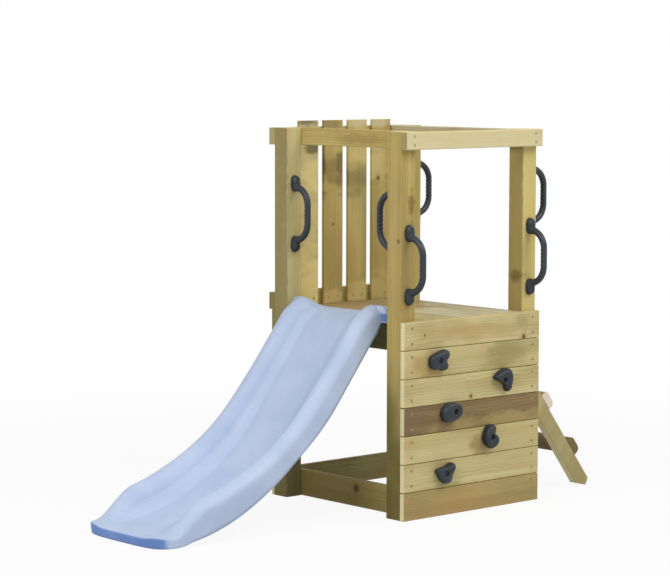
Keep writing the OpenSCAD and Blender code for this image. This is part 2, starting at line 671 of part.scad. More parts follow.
module slide_shell() polyhedron(
    points = concat([for (s = stations) each outer_row(s)], [for (s = stations) each inner_row(s)]),
    faces = concat(
        [for (i = [0 : row_count - 2], j = [0 : row_size - 2])
            each quad(outer(i, j), outer(i + 1, j), outer(i + 1, j + 1), outer(i, j + 1), j < half_count)],
        [for (i = [0 : row_count - 2], j = [0 : row_size - 2])
            each quad(inner(i, j + 1), inner(i + 1, j + 1), inner(i + 1, j), inner(i, j), j >= half_count)],
        [for (i = [0 : row_count - 2], j = [0])
            each quad(outer(i + 1, j), outer(i, j), inner(i, j), inner(i + 1, j), true)],
        [for (i = [0 : row_count - 2], j = [row_size - 1])
            each quad(outer(i, j), outer(i + 1, j), inner(i + 1, j), inner(i, j), false)],
        [for (j = [0 : row_size - 2], i = [0])
            each quad(outer(i, j), outer(i, j + 1), inner(i, j + 1), inner(i, j), j < half_count)],
        [for (j = [0 : row_size - 2], i = [row_count - 1])
            each quad(outer(i, j + 1), outer(i, j), inner(i, j), inner(i, j + 1), j >= half_count)]));

module slide() color(plastic_blue) placed() difference() {
    slide_shell();
    screw_holes(slide_places, short_screw);
}

// Handles: a round grip between two bends, on two flat feet
handle_arm = handle_height / 2 - handle_arm_inset;
handle_straight = handle_arm - handle_bend;

module handle_foot() linear_extrude(handle_foot_thick) {
    r = handle_foot_width / 2;
    for (y = pair(0, handle_foot_height / 2 - r)) translate([0, y]) circle(r);
    square([handle_foot_width, handle_foot_height - 2 * r], center = true);
}

module handle_half() {
    translate([0, handle_height / 2 - handle_foot_height / 2, 0]) handle_foot();
    translate([0, handle_arm, 0]) cylinder(h = handle_reach - handle_bend, d = grip_d);
    translate([0, handle_straight, handle_reach - handle_bend]) rotate([90, 0, 90])
        rotate_extrude(angle = 90) translate([handle_bend, 0]) circle(d = grip_d);
    translate([0, 0, handle_reach]) rotate([-90, 0, 0]) cylinder(h = handle_straight, d = grip_d);
}

module handle(seat) color(plastic_dark) placed() difference() {
    translate(seat[0]) rotate(seat[1]) {
        handle_half();
        mirror([0, 1, 0]) handle_half();
    }
    screw_holes(handle_places(seat), short_screw);
}

module handle_slide_wall() handle(handle_slide_wall_seat);
module handle_slide_back() handle(handle_slide_back_seat);
module handle_wall_slide() handle(handle_wall_slide_seat);
module handle_wall_ladder() handle(handle_wall_ladder_seat);
module handle_ladder_wall() handle(handle_ladder_wall_seat);
module handle_ladder_back() handle(handle_ladder_back_seat);

// Climbing holds: plank number, place across the wall, and height off the plank's middle line,
// the last two as shares of the wall's width and of the plank's height
hold_seats = [[2, 0.217, 0.074], [3, 0.695, 0.126], [4, 0.329, 0.21], [5, 0.605, 0.126], [6, 0.271, 0.042]];
function hold_z(seat) = plank_z(seat[0]) + (0.5 + seat[2]) * plank_height;
function hold_place(seat) = [seat[1] * tower_x, -plank_thick, hold_z(seat)];
hold_lip = hold_height / 4;
hold_top_share = 0.55;

// A hold is a blend of lobes, each a foot circle and a smaller ball, with a finger notch;
// lobes and notch are shares of the hold's width
module hold(seat, lobes, notch_at, notch_share) color(plastic_dark) placed()
    translate(hold_place(seat)) rotate(ON_WALL_SIDE)
    difference() {
        hull() for (lobe = hold_width * lobes) {
            translate([lobe[0], lobe[1], 0]) cylinder(h = hold_lip, r = lobe[2]);
            translate([lobe[0], lobe[1], hold_height - hold_top_share * lobe[2]])
                sphere(hold_top_share * lobe[2]);
        }
        if (notch_share > 0) translate([hold_width * notch_at[0], hold_width * notch_at[1], -screw_clear])
            cylinder(h = 2 * hold_height, d = hold_width * notch_share);
        translate([0, 0, -screw_clear]) cylinder(h = 2 * hold_height, d = hold_bolt_d + 2 * screw_clear);
        translate([0, 0, hold_height / 2]) cylinder(h = hold_height, d = hold_bolt_head_d + 2 * screw_clear);
    }

// Block with a beak, hook, plain egg, kidney and wedge
module climbing_hold_1() hold(hold_seats[0],
    [[-0.19, 0.05, 0.31], [0.25, 0.2, 0.21], [0.18, -0.19, 0.21]], [0.5, 0.01], 0.33);
module climbing_hold_2() hold(hold_seats[1],
    [[-0.22, 0.12, 0.21], [0.1, 0.2, 0.26], [0.18, -0.28, 0.19]], [-0.25, -0.3], 0.5);
module climbing_hold_3() hold(hold_seats[2], [[-0.3, -0.06, 0.34], [0.04, 0, 0.31]], [0, 0], 0);
module climbing_hold_4() hold(hold_seats[3],
    [[-0.08, 0.22, 0.22], [-0.1, -0.1, 0.28], [0.1, -0.2, 0.25]], [0.3, 0.16], 0.3);
module climbing_hold_5() hold(hold_seats[4],
    [[-0.24, 0.04, 0.21], [0.21, 0.19, 0.18], [0.05, -0.16, 0.22]], [0.38, -0.09], 0.25);

// A hold bolt has a round head with a hexagon socket, and a washer and nut behind the plank
washer_thick = hold_bolt_d / 4;
washer_d = 3 * hold_bolt_d;
nut_height = hold_bolt_d;
nut_d = 1.8 * hold_bolt_d;
bolt_reach = plank_thick + 2 * hold_bolt_d;
module hold_bolts() color(zinc) placed() for (seat = hold_seats)
    translate(hold_place(seat)) rotate(ON_WALL_SIDE)
    difference() {
        union() {
            translate([0, 0, hold_height / 2]) cylinder(h = hold_bolt_head_h, d = hold_bolt_head_d);
            translate([0, 0, -bolt_reach])
                cylinder(h = bolt_reach + (hold_height + hold_bolt_head_h) / 2, d = hold_bolt_d);
            translate([0, 0, -plank_thick - washer_thick]) cylinder(h = washer_thick, d = washer_d);
            translate([0, 0, -plank_thick - nut_height]) cylinder(h = nut_height, d = nut_d, $fn = 6);
        }
        translate([0, 0, hold_height / 2 + hold_bolt_head_h / 3])
            cylinder(h = hold_bolt_head_h, d = hold_bolt_d, $fn = 6);
    }

// Screws, one group for each kind of joint
module plank_screws() screws(concat(all_plank_places(0), all_plank_places(1)), long_screw);

module slat_screws() screws([for (i = [1 : slat_count], z = [rail_mid_z, lower_rail_mid_z])
    each slat_places(i, z)], short_screw);

module deck_screws() screws([for (i = [1 : board_count], side = [0, 1])
    each board_places(i, side)], short_screw);

module top_rail_screws() screws([for (side = [0, 1]) each concat(
    wall_rail_places(side), slide_rail_places(side), ladder_rail_places(side),
    back_rail_places(side, rail_mid_z), back_rail_places(side, lower_rail_mid_z))], long_screw);

module bearer_screws() screws([for (side = [0, 1]) each concat(
    slide_bearer_places(side), ladder_bearer_places(side),
    cross_slide_places(side), cross_ladder_places(side), apron_places(side))], long_screw);

module foot_rail_screws() screws([for (side = [0, 1]) each concat(
    foot_slide_places(side), foot_back_places(side))], long_screw);

module ladder_screws() screws([for (side = [0, 1]) each concat(stringer_places(side),
    [for (i = [1 : rung_count]) each rung_places(i, side)])], long_screw);

module handle_screws() screws([for (seat = [handle_slide_wall_seat, handle_slide_back_seat,
    handle_wall_slide_seat, handle_wall_ladder_seat, handle_ladder_wall_seat, handle_ladder_back_seat])
    each handle_places(seat)], short_screw);

module slide_screws() screws(slide_places, short_screw);

post_slide_wall();
post_slide_back();
post_ladder_wall();
post_ladder_back();
top_rail_wall();
top_rail_back();
top_rail_slide();
top_rail_ladder();
lower_rail_back();
for (i = [1 : slat_count]) back_slat(i);
for (i = [1 : plank_count]) wall_plank(i);
for (i = [1 : board_count]) deck_board(i);
bearer_slide();
bearer_ladder();
bearer_wall();
bearer_back();
apron_back();
foot_rail_slide();
foot_rail_back();
ladder_stringer_wall();
ladder_stringer_back();
for (i = [1 : rung_count]) ladder_rung(i);
slide();
handle_slide_wall();
handle_slide_back();
handle_wall_slide();
handle_wall_ladder();
handle_ladder_wall();
handle_ladder_back();
climbing_hold_1();
climbing_hold_2();
climbing_hold_3();
climbing_hold_4();
climbing_hold_5();
plank_screws();
slat_screws();
deck_screws();
top_rail_screws();
bearer_screws();
foot_rail_screws();
ladder_screws();
handle_screws();
slide_screws();
hold_bolts();
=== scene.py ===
"""Looks of a wooden climbing frame: treated pine, a moulded slide, grab handles and climbing holds."""
import math
import random

import bmesh
import bpy
from mathutils import Euler, Matrix, Vector


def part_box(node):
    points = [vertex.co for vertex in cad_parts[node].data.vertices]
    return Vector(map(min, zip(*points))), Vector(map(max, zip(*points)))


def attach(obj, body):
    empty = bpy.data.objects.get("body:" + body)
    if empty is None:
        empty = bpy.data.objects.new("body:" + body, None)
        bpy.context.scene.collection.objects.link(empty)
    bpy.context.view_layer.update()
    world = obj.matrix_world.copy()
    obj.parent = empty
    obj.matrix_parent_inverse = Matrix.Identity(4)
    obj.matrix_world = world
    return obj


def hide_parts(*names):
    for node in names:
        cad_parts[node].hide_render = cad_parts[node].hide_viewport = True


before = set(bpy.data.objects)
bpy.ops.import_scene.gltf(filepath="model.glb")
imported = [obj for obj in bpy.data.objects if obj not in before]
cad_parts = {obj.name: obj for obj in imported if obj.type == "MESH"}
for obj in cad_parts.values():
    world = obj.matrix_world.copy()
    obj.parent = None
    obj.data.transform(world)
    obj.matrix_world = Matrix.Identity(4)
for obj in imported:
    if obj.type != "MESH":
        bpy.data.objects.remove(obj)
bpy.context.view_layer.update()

# Ground corner of the wall-side slide post, from which boards are measured, and sizes of the solids
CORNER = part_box("post_slide_wall")[0]
POST_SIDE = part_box("post_slide_wall")[1].x - CORNER.x
DECK_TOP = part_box("deck_board_1")[1].z
WALL_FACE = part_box("wall_plank_1")[0].y - CORNER.y
SLAT_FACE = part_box("back_slat_1")[0].y - CORNER.y

# Camera at the photograph's viewing angle
CAMERA_TARGET = Vector((0.0825, 0.1721, 0.7496))
CAMERA_AZIMUTH = -41.5
CAMERA_ELEVATION = 5.42
CAMERA_ROLL = 0.12
CAMERA_DISTANCE = 8.485
CAMERA_LENS = 129.12
SENSOR_WIDTH = 36

# Soft light: place, size and power of each lamp, the world's light and the floor's looks
KEY_PLACE = Vector((1.4, -4.2, 5.0))
KEY_SIZE = 3.2
KEY_POWER = 165
FILL_PLACE = Vector((-4.6, -1.0, 4.6))
FILL_SIZE = 3.6
FILL_POWER = 165
LIGHT_AIM = Vector((0, 0, 0.6))
AMBIENT = 0.46
FLOOR_SIZE = 30
FLOOR_SHADE = (0.75, 0.75, 0.75, 1)
FLOOR_GLOW = 0.92
SHADOW_NEAR, SHADOW_FAR = 1.6, 4.0


def paint(code):
    """A hex colour as the linear colour that a node takes."""
    shares = [int(code[i:i + 2], 16) / 255 for i in (1, 3, 5)]
    return (*[s / 12.92 if s <= 0.04045 else ((s + 0.055) / 1.055) ** 2.4 for s in shares], 1)


def ease(t):
    """A smooth step from 0 to 1."""
    t = min(1, max(0, t))
    return t * t * (3 - 2 * t)


def progress(s, start, end):
    """How far s has come from start to end, as a smooth step."""
    return ease((s - start) / (end - start))


def mix(a, b, t):
    """The value at a share t of the way from a to b."""
    return a + (b - a) * t


def spread(first, last, count):
    """Even steps from first up to, but not including, last."""
    return [mix(first, last, i / count) for i in range(count)]


# Pieces
def new_object(name, shape):
    """Turns a finished bmesh into an object at the origin."""
    mesh = bpy.data.meshes.new(name)
    shape.to_mesh(mesh)
    shape.free()
    made = bpy.data.objects.new(name, mesh)
    bpy.context.scene.collection.objects.link(made)
    return made


def smooth_shaded(piece):
    for face in piece.data.polygons:
        face.use_smooth = True


def dress(piece, node, finish):
    """Puts a new piece in the place of its solid."""
    piece.data.materials.append(finish)
    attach(piece, "root")
    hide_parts(node)


def cover(node, finish):
    """Gives a solid that stays as it is its finish."""
    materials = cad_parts[node].data.materials
    materials.clear()
    materials.append(finish)


class Finish:
    """A node material that is built up one node at a time."""

    def __init__(self, name):
        self.material = bpy.data.materials.new(name)
        self.material.use_nodes = True
        self.tree = self.material.node_tree
        self.shader = self.tree.nodes["Principled BSDF"]
        self.object_coords = self.add("ShaderNodeTexCoord").outputs["Object"]

    def add(self, kind, inputs=None, **settings):
        made = self.tree.nodes.new(kind)
        for key, value in settings.items():
            setattr(made, key, value)
        self.feed(made, inputs or {})
        return made

    def feed(self, made, inputs):
        """Links each input to another node's socket, or sets it to a value."""
        for key, value in inputs.items():
            if isinstance(value, bpy.types.NodeSocket):
                self.tree.links.new(value, made.inputs[key])
            else:
                made.inputs[key].default_value = value

    def scalar(self, operation, a, b=0.0):
        return self.add("ShaderNodeMath", {0: a, 1: b}, operation=operation).outputs[0]

    def vector(self, operation, a, b):
        return self.add("ShaderNodeVectorMath", {0: a, 1: b}, operation=operation).outputs[0]

    def distance(self, a, b=(0, 0, 0)):
        return self.add("ShaderNodeVectorMath", {0: a, 1: b}, operation="DISTANCE").outputs["Value"]

    def noise(self, coords, stretch, detail, in_colour=False):
        """A noise of one value, or of three values as a colour."""
        stretched = self.vector("MULTIPLY", coords, stretch)
        made = self.add("ShaderNodeTexNoise", {"Vector": stretched, "Scale": 1, "Detail": detail})
        return made.outputs[1 if in_colour else 0]

    def ramp(self, value, low, high, at_low=0.0, at_high=1.0):
        limits = {"Value": value, "From Min": low, "From Max": high, "To Min": at_low, "To Max": at_high}
        return self.add("ShaderNodeMapRange", limits, interpolation_type="SMOOTHSTEP").outputs["Result"]

    def blend(self, share, first, second):
        made = self.add("ShaderNodeMix", {0: share, 6: first, 7: second}, data_type="RGBA")
        return made.outputs[2]

    def bump(self, height, strength, distance):
        made = self.add("ShaderNodeBump", {"Height": height, "Strength": strength, "Distance": distance})
        self.feed(self.shader, {"Normal": made.outputs["Normal"]})


# Camera, light and floor
def place_camera():
    data = bpy.data.cameras.new("camera")
    data.lens = CAMERA_LENS
    data.sensor_width = SENSOR_WIDTH
    camera = bpy.data.objects.new("camera", data)
    bpy.context.scene.collection.objects.link(camera)
    turn = Matrix.Rotation(math.radians(CAMERA_AZIMUTH), 4, "Z")
    tilt = Matrix.Rotation(math.radians(90 - CAMERA_ELEVATION), 4, "X")
    roll = Matrix.Rotation(math.radians(CAMERA_ROLL), 4, "Z")
    back_off = Matrix.Translation((0, 0, CAMERA_DISTANCE))
    camera.matrix_world = Matrix.Translation(CAMERA_TARGET) @ turn @ tilt @ roll @ back_off
    bpy.context.scene.camera = camera


def soft_lamp(name, place, size, power):
    data = bpy.data.lights.new(name, "AREA")
    data.size = size
    data.energy = power
    lamp = bpy.data.objects.new(name, data)
    lamp.location = place
    lamp.rotation_euler = (LIGHT_AIM - place).to_track_quat("-Z", "Y").to_euler()
    bpy.context.scene.collection.objects.link(lamp)


def seen_directly(tree):
    """1 where the eye, or a shiny or clear surface, sees a stage surface, and 0 where it only lights."""
    rays = tree.nodes.new("ShaderNodeLightPath")
    seen = rays.outputs["Is Camera Ray"]
    for other in ("Is Glossy Ray", "Is Transmission Ray"):
        most = tree.nodes.new("ShaderNodeMath")
        most.operation = "MAXIMUM"
        tree.links.new(seen, most.inputs[0])
        tree.links.new(rays.outputs[other], most.inputs[1])
        seen = most.outputs[0]
    return seen


def white_world():
    """A world that looks white and gives an even, weaker light."""
    world = bpy.data.worlds.new("studio")
    bpy.context.scene.world = world
    world.use_nodes = True
    background = world.node_tree.nodes["Background"]
    background.inputs["Color"].default_value = (1, 1, 1, 1)
    strength = world.node_tree.nodes.new("ShaderNodeMapRange")
    strength.inputs["To Min"].default_value = AMBIENT
    world.node_tree.links.new(seen_directly(world.node_tree), strength.inputs["Value"])
    world.node_tree.links.new(strength.outputs["Result"], background.inputs["Strength"])


def pale_floor():
    """A floor that shows a faint shadow near the object and is white further off."""
    shape = bmesh.new()
    bmesh.ops.create_grid(shape, x_segments=1, y_segments=1, size=FLOOR_SIZE)
    floor = new_object("floor", shape)
    finish = Finish("pale_floor")
    tree = finish.tree
    matte = finish.add("ShaderNodeBsdfDiffuse", {"Color": FLOOR_SHADE})
    glow = finish.add("ShaderNodeEmission")
    far = finish.distance(finish.object_coords)
    whiteness = finish.ramp(far, SHADOW_NEAR, SHADOW_FAR, FLOOR_GLOW, 1)
    share = finish.scalar("MULTIPLY", seen_directly(tree), whiteness)
    mixed = finish.add("ShaderNodeMixShader", {0: share, 1: matte.outputs[0], 2: glow.outputs[0]})
    tree.nodes.remove(finish.shader)
    tree.links.new(mixed.outputs[0], tree.nodes["Material Output"].inputs["Surface"])
    floor.data.materials.append(finish.material)


# Timber: each tone has a light colour, a streak colour and the colour of its growth lines
TONES = {
    "pale": ("#cec7a3", "#bcb18a", "#a0936b"),
    "fresh": ("#d1c590", "#c2b27c", "#a89660"),
    "honey": ("#c4b16c", "#b09a59", "#917c44"),
    "tan": ("#b9a26b", "#a58d59", "#867043"),
    "olive": ("#aea267", "#948a52", "#786e3c"),
    "umber": ("#917c54", "#7c6643", "#614f34"),
}
END_GRAIN = "#ece0b0"
GREEN_STAIN = paint("#8f8b55")
WARM_STAIN = paint("#b3935c")
# The next colour darkens boards from the ground up: damp, and painted shade under the deck.
DAMP_AND_SHADE_COLOUR = paint("#564f20")

# Turns that lay the grain of a board along X
GRAIN_X = (0, 0, 0)
GRAIN_Y = (0, 0, math.radians(-90))
GRAIN_Z = (0, math.radians(90), 0)
LADDER_ANGLE = math.radians(52.5)
GRAIN_SLOPE = (0, LADDER_ANGLE - math.pi, 0)

# Noises in the timber: stretch along the grain and across it, and detail
WANDER = ((1.7, 4, 4), 1)
FIBRES = ((7, 380, 380), 3)
STREAKS = ((1.3, 21, 21), 4)
PATCHES = ((2.6, 8, 8), 3)
CLOUDS = ((3.4, 6, 6), 3)
CLOUD_OFFSET = (3, 7, 5)
NOISE_MIDDLE = (0.5, 0.5, 0.5)

# Growth rings: where their pith may lie, how far they wander, and their wave
PITH_ALONG = 5
PITH_REACH = 0.09
PITH_NEAREST = 0.4
GRAIN_WANDER = 0.016
RING_WAVE = {"Scale": 44, "Distortion": 2.4, "Detail": 2, "Detail Scale": 0.8}

# Values of a pattern between which it comes up, and how strongly it then shows
MIDDLE_BAND = (0.3, 0.7)
WIDE_BAND = (0.2, 0.8)
LINE_BAND = (0.4, 1.0)
LINE_STRENGTH = (0.12, 0.5)
GREEN_BAND = (0.5, 0.72)
WARM_BAND = (0.5, 0.7)
FIBRE_BAND = (0.52, 0.75)
FIBRE_STRENGTH = 0.25
END_BAND = (0.75, 0.95)
END_STRENGTH = 0.85

# Stains and patches of painted light and shade fade between two shares of their reach, and damp with painted
# shade from a height above the ground up to the deck
PATCH_NOISE = ((14, 14, 30), 3)
PATCH_CORE, PATCH_END, PATCH_WAVER = 0.3, 1.2, 0.45
DAMP_AND_SHADE_BAND = (0.25, 0.75)
DAMP_AND_SHADE_START, DAMP_AND_SHADE_WAVER = 0.05, 0.16

# Surface of the timber
TIMBER_ROUGHNESS = (0.58, 0.74)
TIMBER_SPECULAR = 0.25
LINE_RELIEF = 0.5
TIMBER_BUMP, TIMBER_BUMP_DEPTH = 0.35, 0.0006

# Scattered knots lie in cells of this spacing, and most cells have none
KNOT_SPACING = Vector((0.34, 0.10, 1))
KNOT_STRETCH = Vector((0.75, 1, 1))
KNOT_LEFT_OUT, LEFT_OUT_EDGE = 0.96, 0.01
KNOT_FAR = 9
KNOT_SMALL = 0.0025
KNOT_LARGE = 0.0075

# Round a knot, in its own radii: where the growth lines bend, and where its halo, rim and heart fade out
KNOT_BEND = (0.9, 3.2, 4, 0)
KNOT_COLOURS = [
    ((0.8, 2.6, 0.45, 0), paint("#a3884f")),
    ((0.75, 1.2, 0.75, 0), paint("#725731")),
    ((0.2, 0.75, 0.8, 0), paint("#4b3824")),
]


def timber_finish(node, grain, tone, green=0.35, warm=0.4, damp_and_shade=0.0, end=END_GRAIN, knots=(), stains_and_painted_light=()):
    """Treated pine: growth rings round a pith beside the board, streaks, fibres, knots, stains, and patches
    of painted light and shade.
    """
    finish = Finish(node + "_pine")
    light, streak, line = [paint(code) for code in TONES[tone]]
    place = grain_place(finish, node, grain)
    near_knot = knot_field(finish, place, knots)
    lines = growth_lines(finish, place, near_knot)
    fibres = finish.noise(place, *FIBRES)
    streaks = finish.noise(place, *STREAKS)
    patches = finish.noise(place, *PATCHES)
    clouds = finish.noise(finish.vector("ADD", place, CLOUD_OFFSET), *CLOUDS)
    line_share = finish.scalar("MULTIPLY", lines, finish.ramp(patches, *MIDDLE_BAND, *LINE_STRENGTH))
    colour = finish.blend(finish.ramp(streaks, *MIDDLE_BAND), light, streak)
    colour = finish.blend(line_share, colour, line)
    colour = finish.blend(finish.ramp(patches, *GREEN_BAND, 0, green), colour, GREEN_STAIN)
    colour = finish.blend(finish.ramp(clouds, *WARM_BAND, 0, warm), colour, WARM_STAIN)
    colour = finish.blend(finish.ramp(fibres, *FIBRE_BAND, 0, FIBRE_STRENGTH), colour, line)
    for centre, reach, code, share in stains_and_painted_light:
        colour = finish.blend(stain_and_painted_light_mask(finish, centre, reach, share), colour, paint(code))
    if damp_and_shade > 0:
        colour = finish.blend(damp_and_shade_mask(finish, clouds, damp_and_shade), colour, DAMP_AND_SHADE_COLOUR)
    colour = finish.blend(end_mask(finish, grain), colour, paint(end))
    for fade, knot_colour in KNOT_COLOURS:
        colour = finish.blend(finish.ramp(near_knot, *fade), colour, knot_colour)
    roughness = finish.ramp(streaks, *WIDE_BAND, *TIMBER_ROUGHNESS)
    finish.feed(finish.shader, {"Base Color": colour, "Roughness": roughness,
                                "Specular IOR Level": TIMBER_SPECULAR})
    relief = finish.scalar("ADD", finish.scalar("MULTIPLY", lines, LINE_RELIEF), fibres)
    finish.bump(relief, TIMBER_BUMP, TIMBER_BUMP_DEPTH)
    return finish.material


def grain_place(finish, node, grain):
    """Coordinates with X along the board's grain, measured from the pith of its growth rings."""
    draw = random.Random(node)
    pith = Vector((draw.uniform(-PITH_ALONG, PITH_ALONG),
                   draw.choice((-1, 1)) * PITH_REACH * draw.uniform(PITH_NEAREST, 1),
                   draw.choice((-1, 1)) * PITH_REACH * draw.uniform(PITH_NEAREST, 1)))
    low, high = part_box(node)
    turned_middle = Euler(grain).to_matrix() @ ((low + high) / 2)
    turned = {"Vector": finish.object_coords, "Rotation": grain, "Location": pith - turned_middle}
    return finish.add("ShaderNodeMapping", turned).outputs[0]


def growth_lines(finish, place, near_knot):
    """1 on the growth rings' dark lines, which wander along the board and bend round its knots."""
    wander = finish.vector("SUBTRACT", finish.noise(place, *WANDER, in_colour=True), NOISE_MIDDLE)
    shift = finish.vector("MULTIPLY", wander, (0, GRAIN_WANDER, GRAIN_WANDER))
    bent = {"Vector": finish.vector("ADD", place, shift), "Phase Offset": finish.ramp(near_knot, *KNOT_BEND)}
    rings = finish.add("ShaderNodeTexWave", {**bent, **RING_WAVE}, wave_type="RINGS", rings_direction="X")
    return finish.ramp(rings.outputs[1], *LINE_BAND)


def knot_field(finish, place, knots):
    """Distance to the nearest knot, in that knot's own radius: scattered knots and named ones."""
    parts = finish.add("ShaderNodeSeparateXYZ", {0: place})
    across = finish.scalar("ADD", parts.outputs["Y"], parts.outputs["Z"])
    flat = finish.add("ShaderNodeCombineXYZ", {"X": parts.outputs["X"], "Y": across}).outputs[0]
    cell = finish.vector("DIVIDE", flat, KNOT_SPACING)
    scattered = finish.add("ShaderNodeTexVoronoi", {"Vector": cell, "Scale": 1}, voronoi_dimensions="2D")
    off = finish.vector("MULTIPLY", finish.vector("SUBTRACT", cell, scattered.outputs["Position"]),
                        KNOT_SPACING * KNOT_STRETCH)
    chance = finish.add("ShaderNodeSeparateColor", {0: scattered.outputs["Color"]})
    radius = finish.ramp(chance.outputs[0], 0, 1, KNOT_SMALL, KNOT_LARGE)
    left_out = finish.ramp(chance.outputs[1], KNOT_LEFT_OUT, KNOT_LEFT_OUT + LEFT_OUT_EDGE, KNOT_FAR, 0)
    near = finish.scalar("ADD", finish.scalar("DIVIDE", finish.distance(off), radius), left_out)
    for centre, size in knots:
        own = finish.distance(finish.object_coords, CORNER + Vector(centre))
        near = finish.scalar("MINIMUM", near, finish.scalar("DIVIDE", own, size))
    return near


def stain_and_painted_light_mask(finish, centre, reach, share):
    """A soft patch for a stain and for painted light and shade, given by its middle and its reach along each
    axis.
    """
    off = finish.vector("SUBTRACT", finish.object_coords, CORNER + Vector(centre))
    far = finish.distance(finish.vector("DIVIDE", off, reach))
    rough = finish.noise(finish.object_coords, *PATCH_NOISE)
    ragged = finish.scalar("ADD", far, finish.ramp(rough, *WIDE_BAND, -PATCH_WAVER, PATCH_WAVER))
    return finish.ramp(ragged, PATCH_CORE, PATCH_END, share, 0)


def damp_and_shade_mask(finish, clouds, damp_and_shade):
    """Damp and painted shade under the deck, darkest at the ground and fading up to the deck, with a
    wavering edge.
    """
    height = finish.add("ShaderNodeSeparateXYZ", {0: finish.object_coords}).outputs["Z"]
    rising = finish.scalar("ADD", height, finish.ramp(clouds, *DAMP_AND_SHADE_BAND, -DAMP_AND_SHADE_WAVER, DAMP_AND_SHADE_WAVER))
    return finish.ramp(rising, DAMP_AND_SHADE_START, DECK_TOP, damp_and_shade, 0)


def end_mask(finish, grain):
    """The sawn ends, where the surface faces along the grain."""
    normal = finish.add("ShaderNodeTexCoord").outputs["Normal"]
    turned = finish.add("ShaderNodeMapping", {"Vector": normal, "Rotation": grain}).outputs[0]
    along = finish.add("ShaderNodeSeparateXYZ", {0: turned}).outputs["X"]
    return finish.ramp(finish.scalar("ABSOLUTE", along), *END_BAND, 0, END_STRENGTH)
